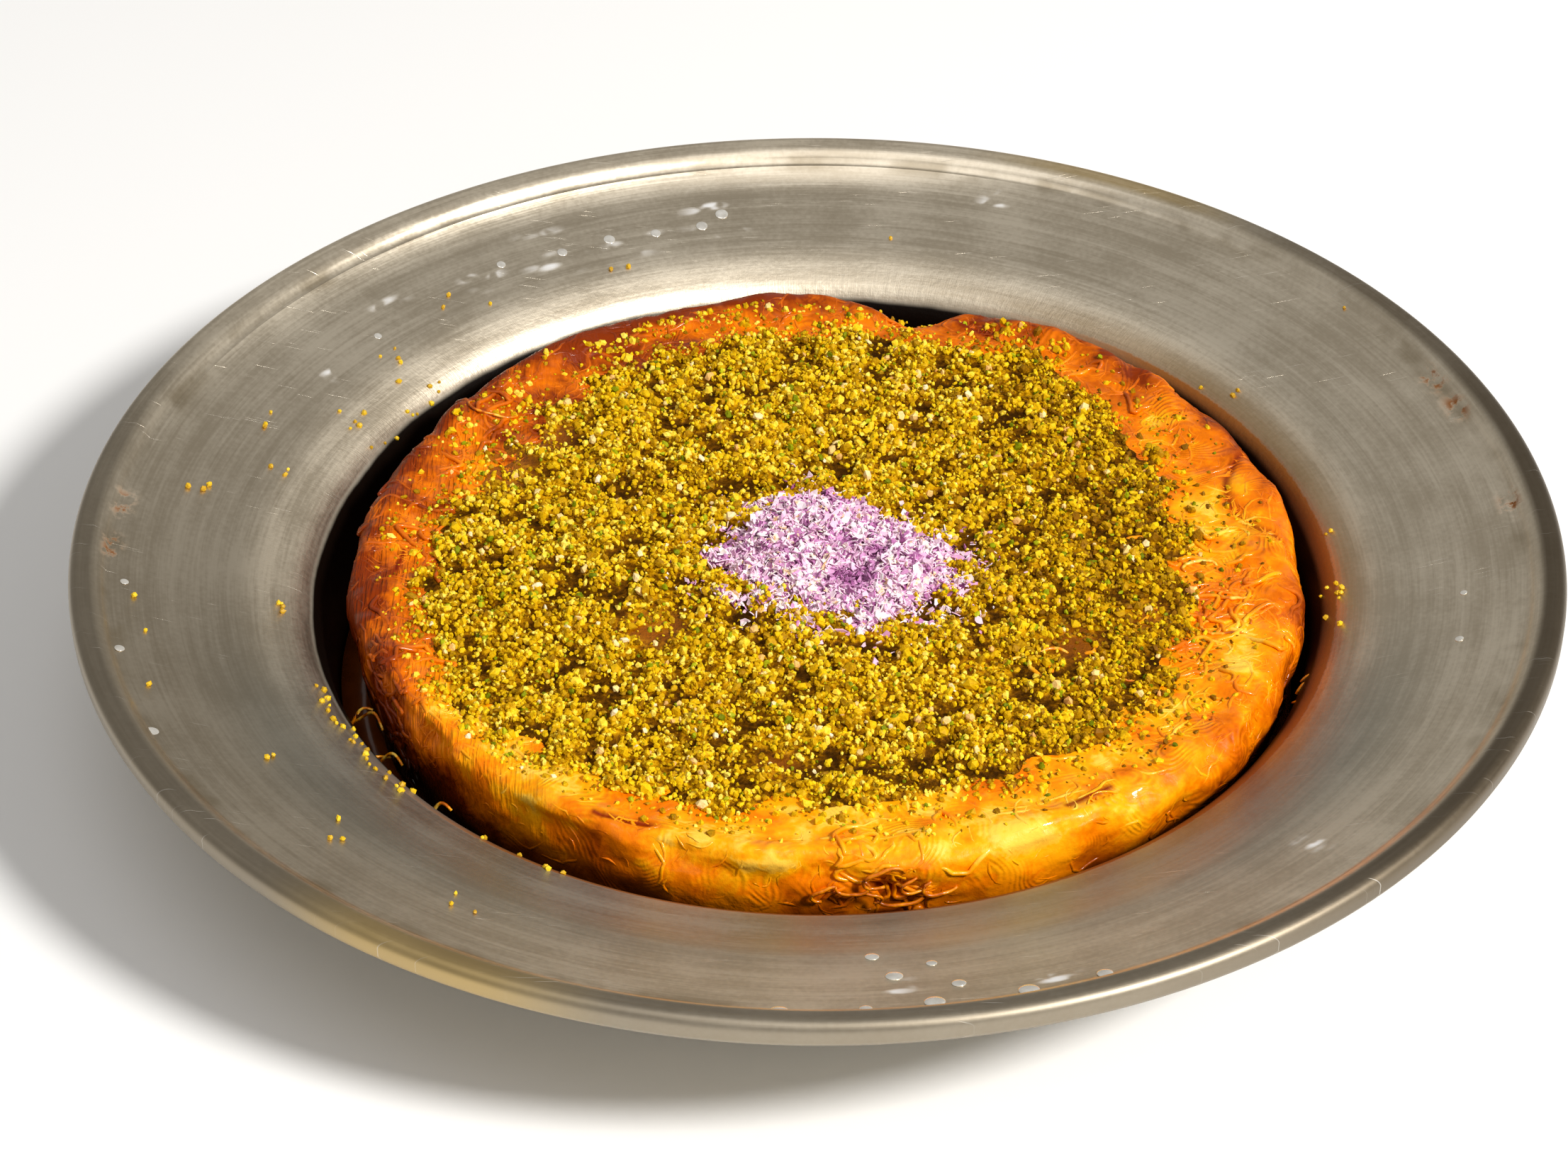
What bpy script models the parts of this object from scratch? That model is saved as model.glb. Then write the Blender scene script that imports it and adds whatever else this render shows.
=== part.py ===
"""A kunafa: a round of fried shredded pastry in its wide-rimmed steel dish, with syrup in the gap,
ground pistachio over the top and a small heap of dried rose petals in the middle.

Metres, +Z up. The dish stands on z = 0 and its axis is the Z axis. The viewer stands at -Y.
"""

import math
import random

import bmesh
import bpy
from mathutils import Matrix, Vector, noise

# Dish: pressed steel sheet with a flat floor, a steep wall, a rounded shoulder and a sloping rim.
DISH_RADIUS = 0.100
SHEET = 0.0010
FLOOR_RADIUS = 0.0624
FLOOR_FILLET = 0.0035
WALL_LEAN = math.radians(8.0)
SHOULDER_CENTRE = (0.0741, 0.0128)
SHOULDER_RADIUS = 0.0070
RIM_SLOPE = math.radians(16.5)
CREASE_RADIUS = 0.0945
LIP_RISE = 0.0023
LIP_ROUND = 0.0013
LIP_STEP = (0.0016, 0.0014)
HEM_DROP = 0.0012
DISH_STEPS = 56

# Pastry: a thick round that stands a little off the dish's axis.
PASTRY_X, PASTRY_Y = 0.0018, 0.0007
PASTRY_RADIUS = 0.0646
PASTRY_TOP = 0.0205
GAP = 0.0003
PASTRY_STEPS = 88
# Waves of the pastry's outline: how many go round, where they start, how high they are.
OUTLINE_WAVES = ((3, 3.84, 0.0003), (5, 5.24, 0.0003), (11, 3.14, 0.00015))
LUMP_HEIGHT = 0.0011
LUMP_SIZE = 0.0085
LUMP_SPREAD = 5.0
# Lumps rise over the first share of the crust's section and die out between the last two.
LUMP_RISE_END = 0.25
LUMP_FALL = (0.62, 0.78)
NOTCH_ANGLE = math.radians(78.5)
NOTCH_WIDTH = math.radians(6.0)
NOTCH_DEPTH = 0.0040
NOTCH_DENT = 0.4 * NOTCH_DEPTH
BLISTER_ANGLE = math.radians(12.0)
BLISTER_WIDTH = math.radians(7.0)
BLISTER_HEIGHT = 0.0012
BLISTER_ALONG = 0.42
BLISTER_SPREAD = 0.14
# The far edge stands up at both sides of the notch: where, how wide, how high.
RAISES = (
    (math.radians(98.0), math.radians(8.0), 0.0011),
    (math.radians(130.0), math.radians(20.0), 0.0015),
    (math.radians(50.0), math.radians(18.0), 0.0010),
)
RAISE_ALONG = 0.36
RAISE_SPREAD = 0.16

# Threads of pastry that stand proud of the crust: lengths round it in radians, shares of its section.
THREAD_COUNT = 28
THREAD_RADIUS = 0.00045
THREAD_POINTS = 7
THREAD_SEED = 11
THREAD_TURN = (0.06, 0.18)
THREAD_START = (0.10, 0.62)
THREAD_SLIDE = (-0.16, 0.20)
THREAD_SWING = 0.05
THREAD_BAND = (0.06, 0.70)

# Ground pistachio: how far it reaches from the pastry's middle, every 30 degrees from +X round to +Y.
PISTACHIO_REACH = (
    0.0488, 0.0509, 0.0558, 0.0538, 0.0540, 0.0512, 0.0548, 0.0575, 0.0562, 0.0533, 0.0530, 0.0518,
)
PISTACHIO_INSET = 0.0010
PISTACHIO_DEPTH = 0.0013
PISTACHIO_LUMP = 0.0006
# Its unevenness: share, size and seed of each. Its ragged edge: waves as the outline's.
PISTACHIO_ROUGH = ((0.6, 0.0075, 1.7), (0.5, 0.0034, 6.1))
PISTACHIO_WAVES = ((17, 1.0, 0.0008), (29, 0.0, 0.0006))
PISTACHIO_STEPS = 72
GRAIN_COUNT = 46
GRAIN_RADIUS = (0.0008, 0.0012)
GRAIN_STRETCH = (1.25, 0.95, 0.85, 1.0)
GRAIN_TILT = 0.6
GRAIN_SPREAD = 0.93
GRAIN_INSET = 0.0025
GRAIN_SEED = 5

# Rose petals: the heap's middle, and its reach every 30 degrees.
ROSE_X, ROSE_Y = 0.0020, 0.0000
ROSE_REACH = (
    0.0180, 0.0135, 0.0130, 0.0150, 0.0145, 0.0150, 0.0150, 0.0150, 0.0150, 0.0160, 0.0175, 0.0190,
)
ROSE_HEIGHT = 0.0026
# Mounds of the heap: height as a share, middle, reach along X and Y. The last is a hollow.
ROSE_MOUNDS = (
    (1.00, (-0.0025, 0.0030), (0.0095, 0.0105)),
    (0.75, (0.0115, -0.0060), (0.0080, 0.0075)),
    (-0.55, (0.0045, -0.0070), (0.0030, 0.0032)),
)
ROSE_ROUGH = (0.16, 0.0030, 3.3)
ROSE_LEAST = 0.16
ROSE_EDGE_START = 0.75
ROSE_EDGE_DROP = 0.7
ROSE_WAVES = ((9, 0.0, 0.0005),)
ROSE_STEPS = 40
FLAKE_COUNT = 30
FLAKE_RADIUS = 0.0010
FLAKE_THICKNESS = 0.0004
FLAKE_TILT = (0.3, 0.9)
FLAKE_SPREAD = 0.86
FLAKE_SEED = 3

# Syrup: a shallow pool between the foot of the pastry and the wall of the dish.
SYRUP_LEVEL = 0.0036

MERGE = 0.00002
GOLDEN_TURN = math.pi * (3.0 - math.sqrt(5.0))


def clear_scene():
    """Leaves an empty scene."""
    for old in list(bpy.data.objects):
        bpy.data.objects.remove(old)


def finish_material(name, colour, roughness, metallic):
    """One plain Principled finish."""
    material = bpy.data.materials.new(name)
    material.use_nodes = True
    shader = material.node_tree.nodes["Principled BSDF"]
    shader.inputs["Base Color"].default_value = (*colour, 1.0)
    shader.inputs["Roughness"].default_value = roughness
    shader.inputs["Metallic"].default_value = metallic
    return material


def place(name, mesh, collection, material=None):
    """An object with its mesh, in a collection."""
    thing = bpy.data.objects.new(name, mesh)
    collection.objects.link(thing)
    if material:
        mesh.materials.clear()
        mesh.materials.append(material)
    return thing


def mesh_of(thing):
    """The mesh of an object as its modifiers leave it."""
    bpy.context.view_layer.update()
    seen = thing.evaluated_get(bpy.context.evaluated_depsgraph_get())
    return bpy.data.meshes.new_from_object(seen)


def turned(name, profile, steps, collection, closed=False):
    """A profile of (radius, height) points turned round the Z axis. It runs down its outer side."""
    mesh = bpy.data.meshes.new(name)
    edges = [(i, i + 1) for i in range(len(profile) - 1)]
    if closed:
        edges.append((len(profile) - 1, 0))
    mesh.from_pydata([(radius, 0.0, height) for radius, height in profile], edges, [])
    thing = place(name, mesh, collection)
    screw = thing.modifiers.new("turn", "SCREW")
    screw.steps = steps
    screw.render_steps = steps
    screw.use_merge_vertices = True
    screw.merge_threshold = MERGE
    screw.use_smooth_shade = True
    return thing


def settled(thing, material, move=None):
    """Fixes a turned object's mesh, then moves each of its points by a rule."""
    mesh = mesh_of(thing)
    thing.modifiers.clear()
    thing.data = mesh
    mesh.materials.clear()
    mesh.materials.append(material)
    if move:
        for vertex in mesh.vertices:
            vertex.co = move(vertex.co.copy())
    mesh.update()
    return thing


def joined(thing, pieces):
    """Fuses a collection's objects onto one object and removes them."""
    union = thing.modifiers.new("fuse", "BOOLEAN")
    union.operation = "UNION"
    union.operand_type = "COLLECTION"
    union.collection = pieces
    union.solver = "EXACT"
    mesh = mesh_of(thing)
    thing.modifiers.clear()
    thing.data = mesh
    for piece in list(pieces.objects):
        bpy.data.objects.remove(piece)
    bpy.data.collections.remove(pieces)
    keep_largest(mesh)


def keep_largest(mesh):
    """Drops any scrap that the fusing left loose, and any skin round a sealed hollow."""
    shape = bmesh.new()
    shape.from_mesh(mesh)
    bmesh.ops.remove_doubles(shape, verts=shape.verts, dist=MERGE / 4)
    left = set(shape.verts)
    islands = []
    while left:
        island, edge = set(), [left.pop()]
        while edge:
            vertex = edge.pop()
            island.add(vertex)
            for link in vertex.link_edges:
                other = link.other_vert(vertex)
                if other in left:
                    left.remove(other)
                    edge.append(other)
        islands.append(island)
    islands.sort(key=len)
    for scrap in islands[:-1]:
        bmesh.ops.delete(shape, geom=list(scrap), context="VERTS")
    bmesh.ops.triangulate(shape, faces=shape.faces)
    shape.to_mesh(mesh)
    shape.free()
    mesh.update()


def arc(centre, radius, start, end, count):
    """Points of a round stretch of profile, by the angle of its outward normal from +X."""
    return [
        (
            centre[0] + radius * math.cos(start + (end - start) * i / (count - 1)),
            centre[1] + radius * math.sin(start + (end - start) * i / (count - 1)),
        )
        for i in range(count)
    ]


def reach_at(reach, angle):
    """A reach stated every 30 degrees, smoothly between."""
    turn = (angle / math.tau % 1.0) * len(reach)
    i, t = int(turn), turn % 1.0
    before, here, after, beyond = (reach[(i + k) % len(reach)] for k in (-1, 0, 1, 2))
    cubic = 3 * (here - after) + beyond - before
    square = 2 * before - 5 * here + 4 * after - beyond
    return here + 0.5 * t * (after - before + t * (square + t * cubic))


def waves_at(waves, angle):
    """Sum of waves that go round the Z axis, each stated by its number, start and height."""
    return sum(height * math.sin(number * angle + start) for number, start, height in waves)


def bump(x, y, size, seed):
    """Smooth unevenness from -1 to 1 over distances of about size."""
    return noise.noise(Vector((x / size, y / size, seed)))


def flatten_foot(mesh, foot):
    """Flattens whatever of a fused piece reaches below the foot of what it lies on."""
    for vertex in mesh.vertices:
        vertex.co.z = max(vertex.co.z, foot)
    mesh.update()


# Dish

def dish_upper_side():
    """The face that holds the food, from the axis out to the crease below the lip."""
    lean = WALL_LEAN
    floor_centre = (FLOOR_RADIUS, SHEET + FLOOR_FILLET)
    corner = arc(floor_centre, FLOOR_FILLET, -math.pi / 2, -lean, 4)
    shoulder = arc(SHOULDER_CENTRE, SHOULDER_RADIUS, math.pi - lean, math.pi / 2 + RIM_SLOPE, 5)
    inner_end = shoulder[-1]
    crease = (CREASE_RADIUS, inner_end[1] + (CREASE_RADIUS - inner_end[0]) * math.tan(RIM_SLOPE))
    return [(0.0, SHEET), *corner, *shoulder, crease]


def dish_profile():
    """Upper side, lip and underside of the sheet, from the axis out and back."""
    upper = dish_upper_side()
    crease = upper[-1]
    step_top = (crease[0] + LIP_STEP[0], crease[1] + LIP_STEP[1])
    lip_centre = (DISH_RADIUS - LIP_ROUND, crease[1] + LIP_RISE - LIP_ROUND)
    lip = arc(lip_centre, LIP_ROUND, math.radians(120), 0.0, 4)
    hem = [
        (DISH_RADIUS, lip_centre[1] - HEM_DROP),
        (DISH_RADIUS - 0.8 * SHEET, lip_centre[1] - 1.6 * HEM_DROP),
    ]
    under_lip = [
        (DISH_RADIUS - 1.5 * SHEET, lip_centre[1] - 0.3 * HEM_DROP),
        (crease[0] + 1.7 * SHEET, crease[1]),
    ]
    slope = Vector((math.sin(RIM_SLOPE), -math.cos(RIM_SLOPE))) * SHEET
    under_crease = (crease[0] + slope.x, crease[1] + slope.y)
    lean = WALL_LEAN
    shoulder = arc(SHOULDER_CENTRE, SHOULDER_RADIUS - SHEET, math.pi / 2 + RIM_SLOPE, math.pi - lean, 4)
    corner = arc((FLOOR_RADIUS, SHEET + FLOOR_FILLET), FLOOR_FILLET + SHEET, -lean, -math.pi / 2, 4)
    return [*upper, step_top, *lip, *hem, *under_lip, under_crease, *shoulder, *corner, (0.0, 0.0)]


def wall_radius(height):
    """Radius of the dish's inside at a height, up to the shoulder."""
    points = [p for p in dish_upper_side() if p[1] >= SHEET][1:]
    for (r0, z0), (r1, z1) in zip(points, points[1:]):
        if z0 <= height <= z1:
            return r0 + (r1 - r0) * (height - z0) / (z1 - z0)
    return points[0][0]


def make_dish(collection, steel):
    """The whole dish is one sheet."""
    dish = turned("dish", dish_profile(), DISH_STEPS, collection)
    dish.data.materials.append(steel)
    return dish


# Pastry

# Section of the crust: how far out from the pistachio's edge (0) to the widest place (1), and the height.
CRUST = (
    (0.00, PASTRY_TOP),
    (0.25, PASTRY_TOP + 0.0006),
    (0.52, PASTRY_TOP + 0.0009),
    (0.78, PASTRY_TOP + 0.0009),
    (0.92, PASTRY_TOP - 0.0001),
    (0.98, PASTRY_TOP - 0.0018),
    (1.00, PASTRY_TOP - 0.0045),
    (0.93, PASTRY_TOP - 0.0090),
    (0.84, SYRUP_LEVEL + 0.0014),
    (0.62, SYRUP_LEVEL - 0.0010),
    (0.40, SHEET + GAP),
)
WIDEST_RING = 6
SEAT_MARGIN = 0.0008


def swell(angle, middle, width):
    """A smooth rise from 0 to 1 and back round an angle."""
    away = (angle - middle + math.pi) % math.tau - math.pi
    return math.exp(-((away / width) ** 2))


def outline_at(angle):
    """The pastry's widest radius at an angle."""
    notch = NOTCH_DEPTH * swell(angle, NOTCH_ANGLE, NOTCH_WIDTH)
    return PASTRY_RADIUS + waves_at(OUTLINE_WAVES, angle) - notch


def crust_point(angle, along):
    """A point of the smooth crust, along its section from the pistachio's edge (0) to the foot (1)."""
    turn = along * (len(CRUST) - 1)
    i = min(int(turn), len(CRUST) - 2)
    t = turn - i
    out = CRUST[i][0] + (CRUST[i + 1][0] - CRUST[i][0]) * t
    height = CRUST[i][1] + (CRUST[i + 1][1] - CRUST[i][1]) * t
    seat = reach_at(PISTACHIO_REACH, angle) + SEAT_MARGIN
    radius = seat + (outline_at(angle) - seat) * out
    return Vector((radius * math.cos(angle), radius * math.sin(angle), height))


def crust_out(angle, along):
    """The way out of the crust at a point."""
    step = 0.01
    ahead = crust_point(angle, min(1.0, along + step)) - crust_point(angle, max(0.0, along - step))
    sideways = Vector((-math.sin(angle), math.cos(angle), 0.0))
    return ahead.cross(sideways).normalized()


def lump_at(angle, along):
    """Height of the crust's unevenness, nothing at the pistachio's edge and in the syrup."""
    fall_start, fall_end = LUMP_FALL
    fade = min(1.0, along / LUMP_RISE_END) * min(1.0, max(0.0, (fall_end - along) / (fall_end - fall_start)))
    x, y = PASTRY_RADIUS * math.cos(angle), PASTRY_RADIUS * math.sin(angle)
    rough = bump(x, y, LUMP_SIZE, along * LUMP_SPREAD)
    dent = NOTCH_DENT * swell(angle, NOTCH_ANGLE, NOTCH_WIDTH)
    blister = BLISTER_HEIGHT * swell(angle, BLISTER_ANGLE, BLISTER_WIDTH)
    blister *= math.exp(-(((along - BLISTER_ALONG) / BLISTER_SPREAD) ** 2))
    raised = sum(height * swell(angle, middle, width) for middle, width, height in RAISES)
    raised *= math.exp(-(((along - RAISE_ALONG) / RAISE_SPREAD) ** 2))
    return fade * (LUMP_HEIGHT * rough - dent + blister + raised)


def crust_surface(angle, along):
    """A point of the crust with its lumps."""
    return crust_point(angle, along) + crust_out(angle, along) * lump_at(angle, along)


def pastry_profile():
    """Nominal profile: each ring's radius only numbers it, for pastry_move to place."""
    seat = [(0.0, PASTRY_TOP), (0.5, PASTRY_TOP)]
    crust = [(1.0 + i, height) for i, (_, height) in enumerate(CRUST)]
    return [*seat, *crust, (0.0, SHEET + GAP)]


def pastry_move(point):
    """Puts a numbered ring's point where it belongs."""
    ring = math.hypot(point.x, point.y)
    angle = math.atan2(point.y, point.x)
    if ring < 0.99:
        seat = reach_at(PISTACHIO_REACH, angle) + SEAT_MARGIN
        placed = Vector((seat * ring * math.cos(angle), seat * ring * math.sin(angle), point.z))
    else:
        placed = crust_surface(angle, (ring - 1.0) / (len(CRUST) - 1))
    return placed + Vector((PASTRY_X, PASTRY_Y, 0.0))


def thread_path(number, draw):
    """A thread's line over the crust: a wandering stretch that sinks in at both ends."""
    angle = number * GOLDEN_TURN
    along = draw.uniform(*THREAD_START)
    turn = draw.choice((-1.0, 1.0)) * draw.uniform(*THREAD_TURN)
    slide = draw.uniform(*THREAD_SLIDE)
    swing = draw.uniform(-THREAD_SWING, THREAD_SWING)
    inner, outer = THREAD_BAND
    points = []
    for k in range(THREAD_POINTS):
        t = k / (THREAD_POINTS - 1)
        here = angle + turn * t
        there = min(outer, max(inner, along + slide * t + swing * math.sin(math.tau * t)))
        proud = THREAD_RADIUS * (1.5 * math.sin(math.pi * t) - 0.5)
        point = crust_surface(here, there) + crust_out(here, there) * proud
        points.append(point + Vector((PASTRY_X, PASTRY_Y, 0.0)))
    return points


def tube(name, points, radius, collection):
    """A closed tube of six sides along a line of points."""
    line = bpy.data.curves.new(name, "CURVE")
    line.dimensions = "3D"
    line.bevel_depth = radius
    line.bevel_resolution = 1
    line.use_fill_caps = True
    spline = line.splines.new("POLY")
    spline.points.add(len(points) - 1)
    for knot, point in zip(spline.points, points):
        knot.co = (*point, 1.0)
    guide = bpy.data.objects.new(name, line)
    collection.objects.link(guide)
    mesh = mesh_of(guide)
    welded(mesh)
    matrix = guide.matrix_world.copy()
    bpy.data.objects.remove(guide)
    thing = place(name, mesh, collection)
    thing.matrix_world = matrix
    return thing


def welded(mesh):
    """Joins a tube's caps to its wall and points its faces out."""
    shape = bmesh.new()
    shape.from_mesh(mesh)
    bmesh.ops.remove_doubles(shape, verts=shape.verts, dist=MERGE)
    bmesh.ops.recalc_face_normals(shape, faces=shape.faces)
    shape.to_mesh(mesh)
    shape.free()


def loose_collection(name):
    """A collection for pieces that are about to be fused."""
    pieces = bpy.data.collections.new(name)
    bpy.context.scene.collection.children.link(pieces)
    return pieces


def make_pastry(collection, material):
    """The round of pastry with threads fused over its crust."""
    profile = pastry_profile()
    pastry = turned("pastry", profile, PASTRY_STEPS, collection)
    settled(pastry, material, pastry_move)
    draw = random.Random(THREAD_SEED)
    threads = loose_collection("threads")
    for i in range(THREAD_COUNT):
        tube(f"thread_{i}", thread_path(i, draw), THREAD_RADIUS, threads)
    joined(pastry, threads)
    return pastry


# Pistachio

PISTACHIO_FOOT = PASTRY_TOP + GAP
PISTACHIO_SEAT = PISTACHIO_FOOT + 0.0011


def rose_cover(x, y):
    """How far inside the rose heap's outline a point is, from 0 outside to 1 well under it."""
    away = math.hypot(x - ROSE_X, y - ROSE_Y)
    reach = reach_at(ROSE_REACH, math.atan2(y - ROSE_Y, x - ROSE_X))
    return min(1.0, max(0.0, (reach + 0.0035 - away) / 0.0020))


def pistachio_top(x, y):
    """Height of the ground pistachio's uneven surface, flat where the rose petals lie."""
    rough = sum(share * bump(x, y, size, seed) for share, size, seed in PISTACHIO_ROUGH)
    uneven = PISTACHIO_FOOT + PISTACHIO_DEPTH + PISTACHIO_LUMP * rough
    cover = rose_cover(x, y)
    return uneven * (1.0 - cover) + PISTACHIO_SEAT * cover


def pistachio_profile():
    """Rings of the layer: the radius is a share of the reach, and a height of 1 marks the upper side."""
    shares = [i / 11 for i in range(11)] + [0.965]
    return [*[(share, 1.0) for share in shares], (1.0, 0.5), (0.985, 0.0), (0.0, 0.0)]


def pistachio_move(point):
    """Puts a ring's point on the uneven top, the edge or the flat foot of the layer."""
    angle = math.atan2(point.y, point.x)
    share = math.hypot(point.x, point.y)
    reach = reach_at(PISTACHIO_REACH, angle) + waves_at(PISTACHIO_WAVES, angle) * share - PISTACHIO_INSET
    x = PASTRY_X + share * reach * math.cos(angle)
    y = PASTRY_Y + share * reach * math.sin(angle)
    top = pistachio_top(x, y)
    if point.z > 0.9:
        height = top if share < 0.95 else PISTACHIO_FOOT + 0.75 * (top - PISTACHIO_FOOT)
    else:
        height = PISTACHIO_FOOT + point.z * 0.6 * (top - PISTACHIO_FOOT)
    return Vector((x, y, height))


def make_grain(name, place_at, size, draw, collection):
    """One uneven crumb of nut."""
    mesh = bpy.data.meshes.new(name)
    shape = bmesh.new()
    bmesh.ops.create_icosphere(shape, subdivisions=1, radius=size)
    for vertex in shape.verts:
        vertex.co *= draw.uniform(0.8, 1.15)
    shape.to_mesh(mesh)
    shape.free()
    grain = place(name, mesh, collection)
    turn = Matrix.Rotation(draw.uniform(0.0, math.tau), 4, "Z")
    turn @= Matrix.Rotation(draw.uniform(-GRAIN_TILT, GRAIN_TILT), 4, "X")
    grain.matrix_world = Matrix.Translation(place_at) @ turn @ Matrix.Diagonal(GRAIN_STRETCH)


def make_pistachio(collection, material):
    """The layer of ground nut, with its coarsest crumbs fused on."""
    layer = turned("ground_pistachio", pistachio_profile(), PISTACHIO_STEPS, collection)
    settled(layer, material, pistachio_move)
    draw = random.Random(GRAIN_SEED)
    grains = loose_collection("grains")
    for i in range(GRAIN_COUNT):
        angle = i * GOLDEN_TURN + draw.uniform(-0.2, 0.2)
        share = GRAIN_SPREAD * math.sqrt((i + 0.5) / GRAIN_COUNT)
        reach = reach_at(PISTACHIO_REACH, angle) - GRAIN_INSET
        x = PASTRY_X + share * reach * math.cos(angle)
        y = PASTRY_Y + share * reach * math.sin(angle)
        if rose_cover(x, y) > 0.0:
            continue
        size = draw.uniform(*GRAIN_RADIUS)
        height = max(pistachio_top(x, y) + 0.1 * size, PISTACHIO_FOOT + 0.35 * size)
        make_grain(f"grain_{i}", Vector((x, y, height)), size, draw, grains)
    joined(layer, grains)
    flatten_foot(layer.data, PISTACHIO_FOOT)
    return layer


# Rose petals

ROSE_FOOT = PISTACHIO_SEAT + GAP


def rose_rise(x, y):
    """Shape of the heap: a mound to the left, a lower one to the right, and a hollow between them."""
    share, size, seed = ROSE_ROUGH
    rise = share * bump(x, y, size, seed)
    for height, (middle_x, middle_y), (reach_x, reach_y) in ROSE_MOUNDS:
        rise += height * math.exp(-(((x - middle_x) / reach_x) ** 2) - ((y - middle_y) / reach_y) ** 2)
    return max(ROSE_LEAST, rise)


def rose_top(x, y, share):
    """Height of the heap's surface, lower towards its edge, where share is 1."""
    edge = 1.0 - ROSE_EDGE_DROP * max(0.0, (share - ROSE_EDGE_START) / (1.0 - ROSE_EDGE_START))
    return ROSE_FOOT + ROSE_HEIGHT * edge * rose_rise(x, y)


def rose_profile():
    """Rings of the heap: the radius is a share of the reach, and a height of 1 marks the upper side."""
    shares = [i / 7 for i in range(7)] + [0.95]
    return [*[(share, 1.0) for share in shares], (1.0, 0.4), (0.98, 0.0), (0.0, 0.0)]


def rose_move(point):
    """Puts a ring's point on the heap's top, its edge or its flat foot."""
    angle = math.atan2(point.y, point.x)
    share = math.hypot(point.x, point.y)
    reach = reach_at(ROSE_REACH, angle) + waves_at(ROSE_WAVES, angle) * share
    x = ROSE_X + share * reach * math.cos(angle)
    y = ROSE_Y + share * reach * math.sin(angle)
    return Vector((x, y, ROSE_FOOT + point.z * (rose_top(x, y, share) - ROSE_FOOT)))


def make_flake(name, place_at, draw, collection):
    """One stiff scrap of petal, tilted."""
    mesh = bpy.data.meshes.new(name)
    shape = bmesh.new()
    bmesh.ops.create_cone(
        shape, cap_ends=True, segments=5, radius1=FLAKE_RADIUS, radius2=FLAKE_RADIUS, depth=FLAKE_THICKNESS
    )
    shape.to_mesh(mesh)
    shape.free()
    flake = place(name, mesh, collection)
    tilt = Matrix.Rotation(draw.uniform(0.0, math.tau), 4, "Z")
    tilt @= Matrix.Rotation(draw.uniform(*FLAKE_TILT), 4, "X")
    stretch = Matrix.Diagonal((draw.uniform(0.8, 1.3), draw.uniform(0.6, 0.9), 1.0, 1.0))
    flake.matrix_world = Matrix.Translation(place_at) @ tilt @ stretch


def make_rose(collection, material):
    """The heap of crushed petals, with its larger flakes fused on."""
    heap = turned("rose_petals", rose_profile(), ROSE_STEPS, collection)
    settled(heap, material, rose_move)
    draw = random.Random(FLAKE_SEED)
    flakes = loose_collection("flakes")
    for i in range(FLAKE_COUNT):
        angle = i * GOLDEN_TURN
        share = FLAKE_SPREAD * math.sqrt((i + 0.5) / FLAKE_COUNT)
        reach = reach_at(ROSE_REACH, angle)
        x = ROSE_X + share * reach * math.cos(angle)
        y = ROSE_Y + share * reach * math.sin(angle)
        height = max(rose_top(x, y, share) + 0.25 * FLAKE_THICKNESS, ROSE_FOOT + 0.8 * FLAKE_RADIUS)
        make_flake(f"flake_{i}", Vector((x, y, height)), draw, flakes)
    joined(heap, flakes)
    flatten_foot(heap.data, ROSE_FOOT)
    return heap


# Syrup

SYRUP_FOOT = SHEET + GAP
SYRUP_CLEARANCE = 0.0005
RING_INNER, RING_OUTER = 1.0, 2.0
# The pastry stands off the dish's axis, so the turn to its foot is found in a few tries.
FOOT_TRIES = 4


def syrup_profile():
    """The pool's section as a closed loop: radius 1 marks its inner side, radius 2 its outer side."""
    middle = 0.5 * (SYRUP_FOOT + SYRUP_LEVEL)
    return [
        (RING_INNER, SYRUP_LEVEL),
        (RING_OUTER, SYRUP_LEVEL),
        (RING_OUTER, middle),
        (RING_OUTER, SYRUP_FOOT),
        (RING_INNER, SYRUP_FOOT),
        (RING_INNER, middle),
    ]


def pastry_foot_radius(angle, height):
    """Radius of the pastry's foot at a height, from the dish's axis."""
    last = len(CRUST) - 1
    along = 1.0
    for ring in range(WIDEST_RING, last):
        upper, lower = CRUST[ring][1], CRUST[ring + 1][1]
        if lower <= height <= upper:
            along = (ring + (upper - height) / (upper - lower)) / last
    turn = angle
    for _ in range(FOOT_TRIES):
        point = crust_point(turn, along) + Vector((PASTRY_X, PASTRY_Y, 0.0))
        turn += angle - math.atan2(point.y, point.x)
    return math.hypot(point.x, point.y)


def syrup_move(point):
    """Fits the pool between the pastry's foot and the wall."""
    angle = math.atan2(point.y, point.x)
    if math.hypot(point.x, point.y) < 0.5 * (RING_INNER + RING_OUTER):
        radius = pastry_foot_radius(angle, point.z) + SYRUP_CLEARANCE
    else:
        radius = wall_radius(point.z) - SYRUP_CLEARANCE
    return Vector((radius * math.cos(angle), radius * math.sin(angle), point.z))


def make_syrup(collection, material):
    """The pool of syrup round the foot of the pastry."""
    pool = turned("syrup", syrup_profile(), DISH_STEPS, collection, closed=True)
    return settled(pool, material, syrup_move)


def main():
    """Builds the kunafa in its dish."""
    clear_scene()
    kunafa = bpy.data.collections.new("kunafa")
    bpy.context.scene.collection.children.link(kunafa)
    make_dish(kunafa, finish_material("steel", (0.60, 0.57, 0.52), 0.32, 1.0))
    make_pastry(kunafa, finish_material("pastry", (0.82, 0.32, 0.05), 0.35, 0.0))
    make_pistachio(kunafa, finish_material("pistachio", (0.62, 0.50, 0.10), 0.80, 0.0))
    make_rose(kunafa, finish_material("rose", (0.70, 0.42, 0.62), 0.75, 0.0))
    make_syrup(kunafa, finish_material("syrup", (0.45, 0.20, 0.04), 0.08, 0.0))


main()
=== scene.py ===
import math
import random

import bmesh
import bpy
from mathutils import Matrix, Vector, noise


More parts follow.
